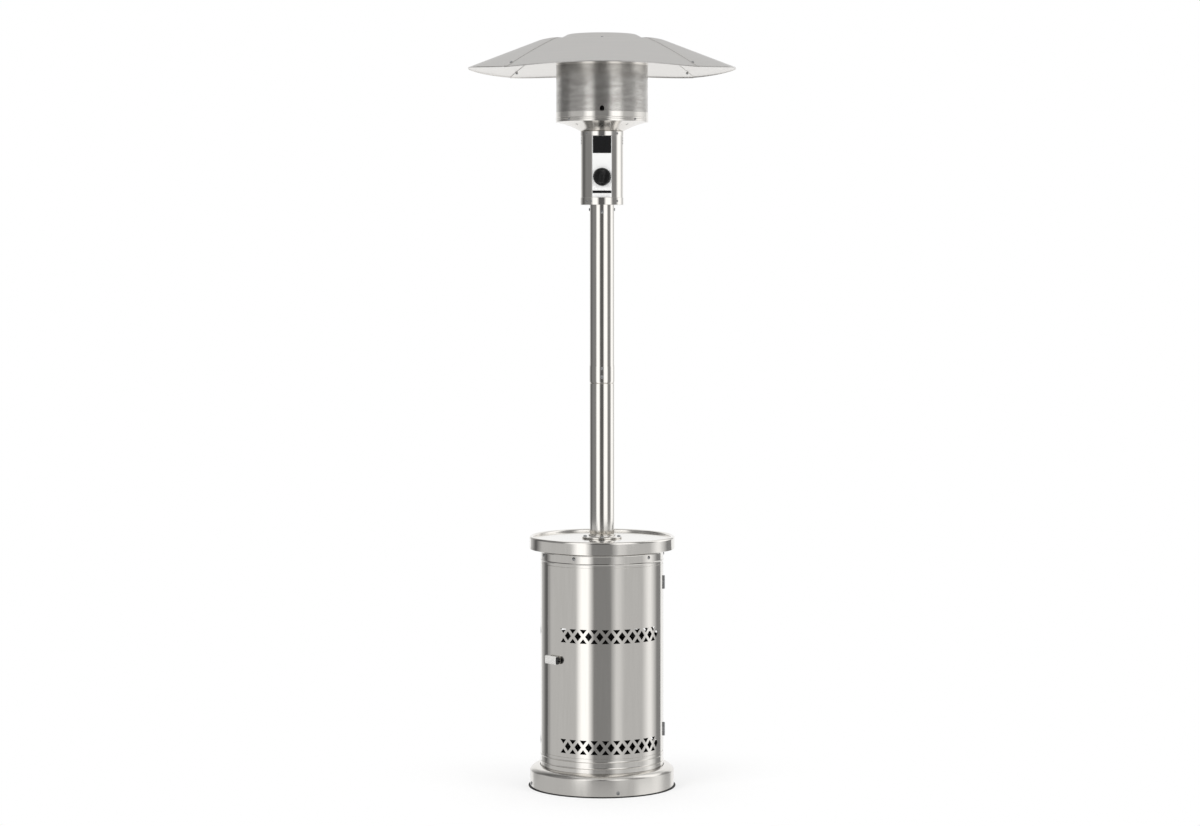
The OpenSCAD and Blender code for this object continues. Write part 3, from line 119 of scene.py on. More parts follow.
camera = bpy.data.objects.new("camera", bpy.data.cameras.new("camera"))
scene.collection.objects.link(camera)
camera.location = (0, -CAMERA_AWAY, CAMERA_UP)
camera.rotation_euler = (math.pi / 2, 0, 0)
camera.data.sensor_fit = "HORIZONTAL"
camera.data.sensor_width = SENSOR_MM
camera.data.lens = FOCAL_PX / IMAGE_PX[0] * SENSOR_MM
camera.data.shift_x = (IMAGE_PX[0] / 2 - AXIS_PX) / IMAGE_PX[0]
camera.data.shift_y = (HORIZON_PX - IMAGE_PX[1] / 2) / IMAGE_PX[0]
scene.camera = camera
scene.view_settings.view_transform = "Standard"
print("lens", round(camera.data.lens, 1), "mm")

# %% [markdown]
# The studio is white all round. The camera sees the world as plain white, while the metal sees a
# slightly darker sky, so that a white stripe on the steel still stands out.

# %% White world
SKY_LEVEL = 0.62

world = bpy.data.worlds.new("studio")
scene.world = world
world.use_nodes = True
tree = world.node_tree
tree.nodes.clear()
ray = add(tree, "ShaderNodeLightPath")
sky = add(tree, "ShaderNodeBackground", {"Color": (1, 1, 1, 1), "Strength": SKY_LEVEL})
white = add(tree, "ShaderNodeBackground", {"Color": (1, 1, 1, 1), "Strength": 1.0})
mixed = add(tree, "ShaderNodeMixShader", {0: ray.outputs["Is Camera Ray"], 1: sky, 2: white})
add(tree, "ShaderNodeOutputWorld", {"Surface": mixed})
print("the metal sees a sky of level", SKY_LEVEL)

# %% [markdown]
# Away from the heater the floor glows to the camera as white as the world, which hides its far edge,
# and near the base it is plain enough to keep the soft shadow.

# %% Pale floor
FLOOR_HALF = 30
GLOW_NEAR = 0.22
GLOW_FAR = 0.8
GLOW_LEAST = 0.55

floor_material, tree = blank_material("pale_floor")
ray = add(tree, "ShaderNodeLightPath")
paint = add(tree, "ShaderNodeBsdfDiffuse", {"Color": linear("F2F2F2")})
glow = add(tree, "ShaderNodeEmission", {"Color": (1, 1, 1, 1), "Strength": 1.0})
place = add(tree, "ShaderNodeTexCoord")
away = add(tree, "ShaderNodeVectorMath", {0: place.outputs["Object"]}, operation="LENGTH")
share = add(tree, "ShaderNodeMapRange",
            {"Value": away.outputs["Value"], "From Min": GLOW_NEAR, "From Max": GLOW_FAR,
             "To Min": GLOW_LEAST, "To Max": 1.0}, interpolation_type="SMOOTHSTEP")
share = add(tree, "ShaderNodeMath", {0: ray.outputs["Is Camera Ray"], 1: share}, operation="MULTIPLY")
mixed = add(tree, "ShaderNodeMixShader", {0: share, 1: paint, 2: glow})
add(tree, "ShaderNodeOutputMaterial", {"Surface": mixed})

floor_mesh = bpy.data.meshes.new("floor")
corners = [(-FLOOR_HALF, -FLOOR_HALF, 0), (FLOOR_HALF, -FLOOR_HALF, 0),
           (FLOOR_HALF, FLOOR_HALF, 0), (-FLOOR_HALF, FLOOR_HALF, 0)]
floor_mesh.from_pydata(corners, [], [(0, 1, 2, 3)])
floor_mesh.materials.append(floor_material)
floor = bpy.data.objects.new("floor", floor_mesh)
scene.collection.objects.link(floor)
floor.visible_glossy = False
print("floor", 2 * FLOOR_HALF, "m wide")

# %% [markdown]
# Three wide soft lamps light what isn't metal. They don't show in the steel, because the cards of the
# next step draw its stripes alone.

# %% Soft lamps
LAMP_AIM_Z = 1.2

# Name, place, size and watts. Each lamp faces the middle of the heater.
LAMPS = [
    ("soft_left", (-3.2, -3.4, 3.6), 2.4, 120),
    ("soft_right", (3.6, -2.6, 3.0), 2.4, 70),
    ("soft_top", (0.0, 0.6, 5.0), 3.0, 90),
]
for name, place, size, watts in LAMPS:
    lamp = bpy.data.objects.new(name, bpy.data.lights.new(name, "AREA"))
    lamp.data.size = size
    lamp.data.energy = watts
    lamp.location = place
    lamp.visible_glossy = False
    aim = np.array([0, 0, LAMP_AIM_Z]) - np.array(place)
    tilt = math.acos(-aim[2] / np.linalg.norm(aim))
    lamp.rotation_euler = (tilt, 0, math.atan2(aim[1], aim[0]) - math.pi / 2)
    scene.collection.objects.link(lamp)
print(len(LAMPS), "lamps")

# %% [markdown]
# Polished steel shows what stands round it. A photographer sets tall white, grey and black cards
# round a steel cylinder to draw its stripes, and so does this script. A stripe that lies at a share s
# of the cylinder's half width has its surface turned by asin(s), so it mirrors a card at twice that
# angle, less a little for the card's short distance. The cards show only in reflections.

# %% Reflection cards
CARD_R = 1.1
FADE_SHARE = 0.05
NARROW_FADE = 0.4
WHITE, BRIGHT, PALE, GREY, DARK, BLACK = 1.3, 1.0, 0.75, 0.55, 0.25, 0.12

# Each card starts at its share of the half width and reaches to the next one, from left to right.
# A card fades into the next one over FADE_SHARE on each side of their edge, or less if it is narrow.
BASE_CARDS = [(-1, GREY), (0.48, BRIGHT), (0.82, GREY)]
HOUSING_CARDS = [(-1, GREY), (-0.94, BLACK), (-0.87, GREY), (-0.38, WHITE), (-0.18, DARK), (0.18, PALE),
                 (0.32, GREY), (0.70, BRIGHT), (0.84, DARK)]
TUBE_CARDS = [(-1, GREY), (-0.92, BLACK), (-0.79, DARK), (-0.45, WHITE), (-0.18, BLACK), (0.14, WHITE),
              (0.44, DARK), (0.70, WHITE), (0.89, GREY)]
DRUM_CARDS = [(-1, PALE), (-0.92, DARK), (-0.70, GREY), (-0.36, WHITE), (-0.18, DARK), (0.18, WHITE),
              (0.42, GREY), (0.72, BRIGHT), (0.88, PALE)]

# Floor and top of a ring of cards, the radius of the steel that it is meant for, and its cards.
CARD_RINGS = [
    (-0.90, -0.11, 0.220, BASE_CARDS),
    (-0.11, 0.63, 0.188, HOUSING_CARDS),
    (0.63, 0.70, 0.222, HOUSING_CARDS),
    (0.70, 1.66, 0.0377, TUBE_CARDS),
    (1.66, 2.055, 0.065, TUBE_CARDS),
    (2.055, 2.225, 0.141, DRUM_CARDS),
    # A dark ring up here draws the thin dark line along the reflector's hem.
    (2.225, 2.45, 0.410, [(-1, DARK)]),
]
BEHIND_LEVEL = 1.0

card_material, tree = blank_material("reflection_card")
level = add(tree, "ShaderNodeAttribute", attribute_name="level")
glow = add(tree, "ShaderNodeEmission", {"Color": (1, 1, 1, 1), "Strength": level.outputs["Fac"]})
add(tree, "ShaderNodeOutputMaterial", {"Surface": glow})
print(len(CARD_RINGS), "rings of cards")


# %% Rings of cards
def grid_faces(rows, cols, wrap_rows=False, wrap_cols=False):
    """Quads on a grid of points. A wrapped direction joins its last line to its first."""
    row_starts = np.arange(rows if wrap_rows else rows - 1)
    col_starts = np.arange(cols if wrap_cols else cols - 1)
    i, j = np.meshgrid(row_starts, col_starts, indexing="ij")
    below, beside = (i + 1) % rows, (j + 1) % cols
    quads = [i * cols + j, i * cols + beside, below * cols + beside, below * cols + j]
    return np.stack(quads, -1).reshape(-1, 4)


def card_ring(name, z0, z1, steel_r, cards_there):
    """A ring of radius R whose level changes with the azimuth. A share s of steel of radius r mirrors
    the azimuth 2 asin(s) - asin(r s / R), and the level between two cards fades evenly."""
    starts, levels = (np.array(values, float) for values in zip(*cards_there))
    ends_there = np.append(starts[1:], 1.0)
    fade = np.minimum(FADE_SHARE, NARROW_FADE * (ends_there - starts))
    shares = np.stack([starts + fade, ends_there - fade], -1).ravel()
    mirrored = 2 * np.arcsin(shares) - np.arcsin(steel_r * shares / CARD_R)
    azimuth = np.radians(np.arange(-180, 180.01, 0.5))
    ring_level = np.interp(azimuth, mirrored, np.repeat(levels, 2), left=BEHIND_LEVEL, right=BEHIND_LEVEL)
    ring = np.stack([CARD_R * np.sin(azimuth), -CARD_R * np.cos(azimuth)], -1)
    points = np.concatenate([np.column_stack([ring, np.full(len(ring), z)]) for z in (z0, z1)])
    mesh = bpy.data.meshes.new(name)
    mesh.from_pydata(points.tolist(), [], grid_faces(2, len(ring)).tolist())
    mesh.attributes.new("level", "FLOAT", "POINT").data.foreach_set("value", np.tile(ring_level, 2))
    mesh.materials.append(card_material)
    cards = bpy.data.objects.new(name, mesh)
    cards.visible_camera = cards.visible_diffuse = False
    cards.visible_shadow = cards.visible_transmission = False
    scene.collection.objects.link(cards)
    print(name, "from", z0, "to", z1, "m with", len(levels), "cards")


for row, ring_values in enumerate(CARD_RINGS):
    card_ring(f"cards_{row}", *ring_values)

# %% [markdown]
# ## Finishes
# The big sheets are polished stainless steel: a mirror with a trace of the rolling mill in it. Real
# sheet is never quite flat, so a slow bump bends the stripes a little, and a fine streak along the
# grain varies the roughness. The scales are given in millimetres and turned to the texture's scale.


# %% Inside of the housing: a dull gloss and painted shade
INSIDE_TOP = 0.7562
INSIDE_FACING = -0.5
INSIDE_ROUGHNESS = 0.6


def scale_of(mm):
    """A noise texture's scale whose features are about that many millimetres across."""
    return 1000 / mm


def dull_shaded_inside(tree, place, colour, rough, inside):
    """Below the table, a face that looks at the pole's axis gets the darker inside colour, which is painted
    shade for the closed housing, and a dull gloss. It looks there if its normal times the level direction
    away from the axis is well below zero."""
    level_place = add(tree, "ShaderNodeVectorMath", {0: place.outputs["Object"], 1: (1, 1, 0)},
                      operation="MULTIPLY")
    outwards = add(tree, "ShaderNodeVectorMath", {0: level_place}, operation="NORMALIZE")
    facing = add(tree, "ShaderNodeVectorMath", {0: outwards, 1: place.outputs["Normal"]},
                 operation="DOT_PRODUCT")
    inner = add(tree, "ShaderNodeMath", {0: facing.outputs["Value"], 1: INSIDE_FACING},
                operation="LESS_THAN")
    height = add(tree, "ShaderNodeSeparateXYZ", {"Vector": place.outputs["Object"]})
    housed = add(tree, "ShaderNodeMath", {0: height.outputs["Z"], 1: INSIDE_TOP}, operation="LESS_THAN")
    inner = add(tree, "ShaderNodeMath", {0: inner, 1: housed}, operation="MULTIPLY")
    colour = add(tree, "ShaderNodeMix", {"Factor": inner, "A": colour, "B": linear(inside)},
                 data_type="RGBA")
    rough = add(tree, "ShaderNodeMix", {"Factor": inner, "A": rough, "B": INSIDE_ROUGHNESS},
                data_type="FLOAT")
    return colour.outputs["Result"], rough.outputs["Result"]


# %% Metals
ALONG_POLE = (1, 1, 0.06)
ROUND_POLE = (0.05, 0.05, 1)


def metal(name, colour, roughness, spread, grain_mm, wave_mm, wave_height_mm, streak=(1, 1, 1),
          inside=None):
    """Metal: its roughness varies by spread over streaked grains, and a slow wave dents its surface."""
    material, tree = blank_material(name)
    place = add(tree, "ShaderNodeTexCoord")
    stretched = add(tree, "ShaderNodeMapping", {"Vector": place.outputs["Object"], "Scale": streak})
    grain = add(tree, "ShaderNodeTexNoise",
                {"Vector": stretched, "Scale": scale_of(grain_mm), "Detail": 6.0, "Roughness": 0.6})
    rough = add(tree, "ShaderNodeMapRange",
                {"Value": grain.outputs["Fac"], "From Min": 0.3, "From Max": 0.7,
                 "To Min": roughness - spread, "To Max": roughness + spread})
    wave = add(tree, "ShaderNodeTexNoise",
               {"Vector": place.outputs["Object"], "Scale": scale_of(wave_mm), "Detail": 1.5,
                "Roughness": 0.4})
    dent = add(tree, "ShaderNodeBump",
               {"Height": wave.outputs["Fac"], "Strength": 1.0, "Distance": wave_height_mm / 1000})
    tone = add(tree, "ShaderNodeMapRange",
               {"Value": grain.outputs["Fac"], "From Min": 0.25, "From Max": 0.75,
                "To Min": 0.94, "To Max": 1.0})
    tint = add(tree, "ShaderNodeMix", {"Factor": 1.0, "A": linear(colour), "B": tone},
               data_type="RGBA", blend_type="MULTIPLY")
    seen_colour, seen_rough = tint.outputs["Result"], rough.outputs[0]
    # An inside colour is painted shade: it darkens the faces inside the housing, where little light gets.
    if inside:
        seen_colour, seen_rough = dull_shaded_inside(tree, place, seen_colour, seen_rough, inside)
    shader = add(tree, "ShaderNodeBsdfPrincipled",
                 {"Base Color": seen_colour, "Metallic": 1.0, "Roughness": seen_rough,
                  "Normal": dent})
    add(tree, "ShaderNodeOutputMaterial", {"Surface": shader})
    return material


# Polished stainless sheet: nearly neutral, a hint warmer than chrome, with soft stripes.
# 767573 is painted shade on the inward faces below the table. Those faces also get the real dull gloss of
# the mill side.
polished_stainless = metal("polished_stainless", "EAE7E2", 0.10, 0.02, 9, 130, 0.10, ALONG_POLE, "767573")
# The base and the bowl are drawn from a duller sheet, so their stripes are wide and weak.
satin_stainless = metal("satin_stainless", "E6E3DE", 0.20, 0.03, 8, 130, 0.10, ALONG_POLE, "767573")
# Rolled aluminium for the reflector: satin, so it glows rather than mirrors, with level mill lines.
reflector_sheet = metal("satin_aluminium", "ECEAE7", 0.34, 0.05, 6, 160, 0.12, ROUND_POLE)
# Zinc plate on fasteners, brackets and studs: greyer and duller.
zinc_steel = metal("zinc_plate", "B9BABB", 0.30, 0.08, 4, 40, 0.02)
# Machined brass of the valve and the jet.
brass = metal("machined_brass", "D9B36A", 0.24, 0.05, 3, 40, 0.01)
print("metals ready")

# %% [markdown]
# The rest is coated, moulded or fired. These finishes are dielectrics: a dark base, a plain gloss at
# an IOR near 1.5, and a fine grain that belongs to how each surface was made.


# %% Coatings, plastics, rubber and ceramic
def coated(name, colour, roughness, grain_mm, grain_height_mm, ior=1.5):
    """A dielectric with a fine bump of the given grain."""
    material, tree = blank_material(name)
    place = add(tree, "ShaderNodeTexCoord")
    grain = add(tree, "ShaderNodeTexNoise",
                {"Vector": place.outputs["Object"], "Scale": scale_of(grain_mm), "Detail": 3.0})
    bump = add(tree, "ShaderNodeBump",
               {"Height": grain.outputs["Fac"], "Strength": 0.6, "Distance": grain_height_mm / 1000})
    rough = add(tree, "ShaderNodeMapRange",
                {"Value": grain.outputs["Fac"], "From Min": 0.3, "From Max": 0.7,
                 "To Min": roughness * 0.85, "To Max": min(1.0, roughness * 1.15)})
    shader = add(tree, "ShaderNodeBsdfPrincipled",
                 {"Base Color": linear(colour), "Roughness": rough, "IOR": ior, "Normal": bump})
    add(tree, "ShaderNodeOutputMaterial", {"Surface": shader})
    return material


# The control panel's lacquer looks almost white and the latch's is greyer. Both stand for steel and are
# painted reflection of the white studio.
painted_reflection_lacquer = coated("pale_silver_lacquer", "E9E9E8", 0.34, 1.0, 0.004, ior=1.48)
latch_painted_reflection = coated("painted_reflection_lacquer", "CDCCC9", 0.28, 1.0, 0.004, ior=1.48)
powder_coat = coated("dark_powder_coat", "2B2B2B", 0.5, 0.8, 0.03)
moulded_black = coated("moulded_black_abs", "161616", 0.20, 0.6, 0.004, ior=1.53)
black_rubber = coated("black_rubber", "1A1A1A", 0.7, 1.0, 0.02, ior=1.52)
glazed_ceramic = coated("glazed_ceramic", "ECEAE4", 0.2, 2.0, 0.005, ior=1.52)
badge_black = coated("badge_black", "121213", 0.26, 1.2, 0.004, ior=1.49)
print("coatings ready")

# %% [markdown]
# ## Surfaces
# Every sheet is worked out as a whole array of points. Smooth metal needs exact normals, because a
# stripe in a reflection shows the slightest error, so the normals come from the faces weighted by
# their area.


# %% Pieces and their normals
def finish_piece(mesh, material, slot_name, node, body="heater"):
    """Puts a mesh in the scene as a piece that rides on a body and stands for a CAD node."""
    mesh.materials.append(material)
    piece = bpy.data.objects.new(mesh.name, mesh)
    scene.collection.objects.link(piece)
    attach(piece, body)
    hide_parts(node)
    print(piece.name, len(mesh.vertices), "points", len(mesh.polygons), "faces")


def quad_crosses(points, faces):
    """The cross product of each quad's diagonals: its normal, twice as long as its area."""
    return np.cross(points[faces[:, 2]] - points[faces[:, 0]], points[faces[:, 3]] - points[faces[:, 1]])


def point_normals(points, faces):
    """The sum of the normals of the faces at each point, each weighted by its area squared, so that a
    long flat face keeps its own direction beside a narrow bend."""
    cross = quad_crosses(points, faces)
    weighted = cross * np.linalg.norm(cross, axis=1, keepdims=True)
    normals = np.zeros_like(points)
    for corner in range(faces.shape[1]):
        np.add.at(normals, faces[:, corner], weighted)
    return normals / np.maximum(np.linalg.norm(normals, axis=1, keepdims=True), 1e-30)


def smooth_mesh(name, points, faces, ends=()):
    """A mesh that is smooth over its quads. The ends are flat faces of many corners that close it."""
    mesh = bpy.data.meshes.new(name)
    mesh.from_pydata(points.tolist(), [], faces.tolist() + [list(end) for end in ends])
    mesh.polygons.foreach_set("use_smooth", np.arange(len(mesh.polygons)) < len(faces))
    mesh.normals_split_custom_set_from_vertices(point_normals(points, faces).tolist())
    return mesh


# %% Closed sheets
def shell_mesh(name, points, faces, thickness):
    """Closes a sheet: the far side lies one thickness against the normals, and each edge that belongs to
    only one face gets a flat quad between the sides."""
    count = len(points)
    normals = point_normals(points, faces)
    edges = np.stack([faces, np.roll(faces, -1, 1)], -1).reshape(-1, 2)
    _, first, times = np.unique(np.sort(edges, 1), axis=0, return_index=True, return_counts=True)
    a, b = edges[first[times == 1]].T
    rims = np.stack([b, a, a + count, b + count], -1)
    both = np.concatenate([points, points - normals * thickness])
    across = quad_crosses(both, rims)
    across /= np.maximum(np.linalg.norm(across, axis=1, keepdims=True), 1e-30)
    back = faces[:, ::-1]
    mesh = bpy.data.meshes.new(name)
    mesh.from_pydata(both.tolist(), [], faces.tolist() + (back + count).tolist() + rims.tolist())
    corner_normals = np.concatenate([normals[faces].reshape(-1, 3), -normals[back].reshape(-1, 3),
                                     np.repeat(across, 4, axis=0)])
    mesh.polygons.foreach_set("use_smooth", np.ones(len(mesh.polygons), bool))
    mesh.normals_split_custom_set(corner_normals.tolist())
    return mesh


# %% Paths and turned shapes
def rounded(points, cut, steps=5, closed=False):
    """Rounds the corners of a line by parabolas that start and end at distance cut from each corner, or
    nearer where the stretch beside it is short. An open line keeps its two ends."""
    corner = np.asarray(points, float)
    inner = corner if closed else corner[1:-1]
    before = np.roll(corner, 1, 0) if closed else corner[:-2]
    after = np.roll(corner, -1, 0) if closed else corner[2:]
    cut = np.broadcast_to(np.asarray(cut, float).reshape(-1, 1), (len(inner), 1))
    before_l = np.linalg.norm(before - inner, axis=1, keepdims=True)
    after_l = np.linalg.norm(after - inner, axis=1, keepdims=True)
    start = inner + (before - inner) / before_l * np.minimum(cut, before_l * 0.45)
    end = inner + (after - inner) / after_l * np.minimum(cut, after_l * 0.45)
    t = np.linspace(0, 1, steps)[None, :, None]
    curve = (1 - t) ** 2 * start[:, None] + 2 * t * (1 - t) * inner[:, None] + t ** 2 * end[:, None]
    curve = curve.reshape(-1, 2)
    return curve if closed else np.concatenate([corner[:1], curve, corner[-1:]])


def turned(path, azimuth):
    """Spins a path of (radius, height) in mm round the pole's axis: the points of ring after ring."""
    path = np.asarray(path, float) / 1000
    return np.stack([path[:, :1] * np.sin(azimuth), -path[:, :1] * np.cos(azimuth),
                     np.repeat(path[:, 1:], len(azimuth), 1)], -1).reshape(-1, 3)


def spun(name, profile, cut, turns):
    """A solid ring: a closed profile of (radius, height) in mm with softened corners. It starts along
    its lower side, outwards."""
    profile = rounded(profile, cut, closed=True)
    azimuth = np.arange(turns) * 2 * np.pi / turns
    faces = grid_faces(len(profile), turns, wrap_rows=True, wrap_cols=True)
    return smooth_mesh(name, turned(profile, azimuth), faces)


def spun_sheet(name, path, thickness, turns):
    """A spun sheet: the path runs along its outside, up at a wall and inwards over a top."""
    azimuth = np.arange(turns) * 2 * np.pi / turns
    faces = grid_faces(len(path), turns, wrap_cols=True)
    return shell_mesh(name, turned(path, azimuth), faces, thickness / 1000)


# %% [markdown]
# ## The emitter screen
# The screen is a rolled sheet with thousands of punched holes. It glows red in use and has a warm
# grey heat tint when cold. The holes are far finer than a mesh needs to carry, so the sheet stays
# whole, and a pattern on the unrolled sheet draws them as dark dots in staggered rows: painted shade
# of the screen's dark inside, seen through them.

# %% Perforated screen
HOLES_ROUND = 220
HOLE_ROW_MM = 3.47
HOLE_SHARE = 0.52
HOLE_BLUR = 0.06
# The sine of 60 degrees: how near staggered rows lie, as a share of the distance of two holes.
STAGGERED_SHARE = 0.866
HEAT_MM = 14

perforated, tree = blank_material("perforated_heat_tinted_steel")
place = add(tree, "ShaderNodeTexCoord")
apart = add(tree, "ShaderNodeSeparateXYZ", {"Vector": place.outputs["Object"]})
front = add(tree, "ShaderNodeMath", {0: apart.outputs["Y"], 1: -1.0}, operation="MULTIPLY")
turn = add(tree, "ShaderNodeMath", {0: apart.outputs["X"], 1: front}, operation="ARCTAN2")
round_count = add(tree, "ShaderNodeMath", {0: turn, 1: HOLES_ROUND / (2 * math.pi)}, operation="MULTIPLY")
row = add(tree, "ShaderNodeMath", {0: apart.outputs["Z"], 1: scale_of(HOLE_ROW_MM)},
          operation="MULTIPLY")
# Every other row is shifted by half a hole.
odd = add(tree, "ShaderNodeMath", {0: row, 1: 2.0}, operation="FLOORED_MODULO")
odd = add(tree, "ShaderNodeMath", {0: odd, 1: 1.0}, operation="GREATER_THAN")
along = add(tree, "ShaderNodeMath", {0: odd, 1: 0.5, 2: round_count}, operation="MULTIPLY_ADD")
cells = [add(tree, "ShaderNodeMath", {0: way}, operation="FRACT") for way in (along, row)]
off_x, off_y = (add(tree, "ShaderNodeMath", {0: cell, 1: 0.5}, operation="SUBTRACT") for cell in cells)
off_y = add(tree, "ShaderNodeMath", {0: off_y, 1: STAGGERED_SHARE}, operation="MULTIPLY")
spot = add(tree, "ShaderNodeCombineXYZ", {"X": off_x, "Y": off_y})
away = add(tree, "ShaderNodeVectorMath", {0: spot}, operation="LENGTH")
solid = add(tree, "ShaderNodeMapRange",
            {"Value": away.outputs["Value"], "From Min": HOLE_SHARE / 2 - HOLE_BLUR,
             "From Max": HOLE_SHARE / 2 + HOLE_BLUR})
rolled = add(tree, "ShaderNodeMapping", {"Vector": place.outputs["Object"], "Scale": (0.25, 0.25, 1)})
heat = add(tree, "ShaderNodeTexNoise", {"Vector": rolled, "Scale": scale_of(HEAT_MM), "Detail": 3.0})
tint = add(tree, "ShaderNodeValToRGB", {"Fac": heat.outputs["Fac"]})
for stop, position, code in zip(tint.color_ramp.elements, (0.35, 0.65), ("CAC7C3", "E0DEDA")):
    stop.position = position
    stop.color = linear(code)
# The holes are dots of dark 4A4540: painted shade of the screen's dark inside, seen through them.
colour = add(tree, "ShaderNodeMix", {"Factor": solid, "A": linear("4A4540"), "B": tint}, data_type="RGBA")
dull = add(tree, "ShaderNodeMapRange", {"Value": solid, "To Min": 0.5, "To Max": 0.16})
rim = add(tree, "ShaderNodeBump", {"Height": solid, "Strength": 0.25, "Distance": 0.0004})
shader = add(tree, "ShaderNodeBsdfPrincipled",
             {"Base Color": colour.outputs["Result"], "Metallic": 1.0, "Roughness": dull, "Normal": rim})
add(tree, "ShaderNodeOutputMaterial", {"Surface": shader})
print(HOLES_ROUND, "holes round, rows", HOLE_ROW_MM, "mm apart")

# %% [markdown]
# ## Finishes of the solids
# Every CAD node first gets the finish of the real piece, also where a smooth surface stands for it
# later, except the control panel and the latch, whose lacquers are painted reflection. Screws, studs,
# hinges, brackets and the other fittings that the list leaves out are zinc plated.

# %% Finishes of the CAD nodes
FINISHES = {
    polished_stainless: ["base_cover", "lower_band", "back_shell", "upper_band", "door_panel",
                         "table_top", "pole_flange", "lower_pole", "upper_pole", "lower_collar",
                         "head_housing", "upper_collar", "bowl", "burner_band"],
    reflector_sheet: ["front_panel", "right_panel", "back_panel", "left_panel", "cap"],
    painted_reflection_lacquer: ["control_panel"],
    latch_painted_reflection: ["latch_handle"],
    perforated: ["emitter_screen"],
    brass: ["valve_plug", "gas_valve", "gas_jet", "thermocouple"],
    powder_coat: ["base_plate", "ballast_ring"],
    moulded_black: ["control_knob", "latch_end", "tilt_switch", "tank_nut"],
    badge_black: ["bare_badge", "panel_stripe"],
    black_rubber: ["edge_trim", "gas_hose"],
    glazed_ceramic: ["ignition_electrode"],
}
finish_of = {name: finish for finish, names in FINISHES.items() for name in names}
for name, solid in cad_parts.items():
    solid.data.materials.clear()
    solid.data.materials.append(finish_of.get(name, zinc_steel))
print("zinc plated:", sorted(set(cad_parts) - set(finish_of)))

# %% [markdown]
# ## Base
# The base cover is one sheet spun over a form, so its shoulder flows into the wall and its mouth is
# turned down round the housing. The path below runs up the wall, over the shoulder's arc and down
# into the mouth, and the sheet's thickness lies inside it. A sheet's foot starts a hair above the
# solid's.


# %% Base cover and its trim
def arc(start, end, radius, steps):
    """Points on the arc of that radius between two points, bulging to the right of the straight way."""
    start, end = np.array(start, float), np.array(end, float)
    way = end - start
    chord = np.linalg.norm(way)
    right = np.array([way[1], -way[0]]) / chord
    centre = (start + end) / 2 - right * math.sqrt(radius ** 2 - chord ** 2 / 4)
    half = math.asin(chord / 2 / radius)
    angle = np.linspace(-half, half, steps)[:, None]
    return centre + radius * (np.cos(angle) * right + np.sin(angle) * way / chord)


SHEET_T = 1.0
FOOT_LIFT = 0.2
WIDE_TURNS = 256
# Material and slot of every polished piece.
POLISHED = (polished_stainless, "polished_stainless")
MOUTH_R, COVER_R, COVER_FOOT_Z, _ = measure("base_cover")
WALL_Z = 30.0
SHOULDER_Z = 51.0
SHOULDER_ARC_R = 32.0
MOUTH_Z = 66.0
MOUTH_FOOT_Z = 58.5
MOUTH_BEND = (1.2, 0.4)
TRIM_IN_R, TRIM_R, _, TRIM_Z = measure("edge_trim")
TRIM_EDGE_Z = 1.8
TRIM_SLOPE_W = 3.5

bend = (MOUTH_R + MOUTH_BEND[0], MOUTH_Z - MOUTH_BEND[1])
shoulder = arc((COVER_R, SHOULDER_Z), bend, SHOULDER_ARC_R, 24)
mouth = rounded([bend, (MOUTH_R, MOUTH_Z), (MOUTH_R, MOUTH_FOOT_Z)], 1.2)
cover_path = np.concatenate([[(COVER_R, COVER_FOOT_Z + FOOT_LIFT), (COVER_R, WALL_Z)], shoulder, mouth[1:]])
finish_piece(spun_sheet("spun_base_cover", cover_path, SHEET_T, WIDE_TURNS),
             satin_stainless, "polished_stainless", "base_cover")
trim = [(TRIM_IN_R, 0), (TRIM_R, 0), (TRIM_R, TRIM_EDGE_Z), (TRIM_R - TRIM_SLOPE_W, TRIM_Z),
        (TRIM_IN_R, TRIM_Z)]
finish_piece(spun("moulded_edge_trim", trim, 0.7, WIDE_TURNS),
             black_rubber, "black_rubber", "edge_trim")

# %% [markdown]
# ## Bands
# Two bands close the housing below and above the door. Each is rolled sheet with two raised beads,
# which stiffen it and catch the light as fine rings. A joggled lip reaches behind the door.


# %% Rolled bands
def bead(radius, height, out, half, steps):
    """A raised ring: over half a height each way the radius grows by out * (1 + cosine) / 2."""
    t = np.linspace(-1, 1, steps)
    return np.column_stack([radius + out * (0.5 + 0.5 * np.cos(np.pi * t)), height + half * t])


HOUSING_R = measure("door_panel")[1]
BAND_BEAD = {"out": 1.3, "half": 2.6, "steps": 9}
LOWER_BEADS_Z = (80.96, 100.3)
UPPER_BEADS_Z = (692.9, 719.1)
LIP_R = 186.7
LIP_H = 8.0
JOGGLE_H = 2.0
_, _, lower_z0, lower_z1 = measure("lower_band")
_, _, upper_z0, upper_z1 = measure("upper_band")

lower_joggle = [(HOUSING_R, lower_z1 - LIP_H - JOGGLE_H), (HOUSING_R, lower_z1 - LIP_H),
                (LIP_R, lower_z1 - LIP_H), (LIP_R, lower_z1)]
upper_joggle = [(LIP_R, upper_z0), (LIP_R, upper_z0 + LIP_H), (HOUSING_R, upper_z0 + LIP_H),
                (HOUSING_R, upper_z0 + LIP_H + JOGGLE_H)]
lower_beads = [bead(HOUSING_R, z, **BAND_BEAD) for z in LOWER_BEADS_Z]
upper_beads = [bead(HOUSING_R, z, **BAND_BEAD) for z in UPPER_BEADS_Z]
lower_path = np.concatenate([[(HOUSING_R, lower_z0 + FOOT_LIFT)], *lower_beads, rounded(lower_joggle, 0.5)])
upper_path = np.concatenate([rounded(upper_joggle, 0.5), *upper_beads, [(HOUSING_R, upper_z1 - 0.1)]])
for node, path in (("lower_band", lower_path), ("upper_band", upper_path)):
    finish_piece(spun_sheet(f"rolled_{node}", path, SHEET_T, WIDE_TURNS), *POLISHED, node)

# %% [markdown]
# ## Table
# The table is one pressing: a skirt, a rounded rim and a recessed top that keeps a glass from sliding
# off. The rim's round edge draws the two bright lines round it. The pole's flange is turned from a
# solid ring, with a fillet between its plate and its neck.

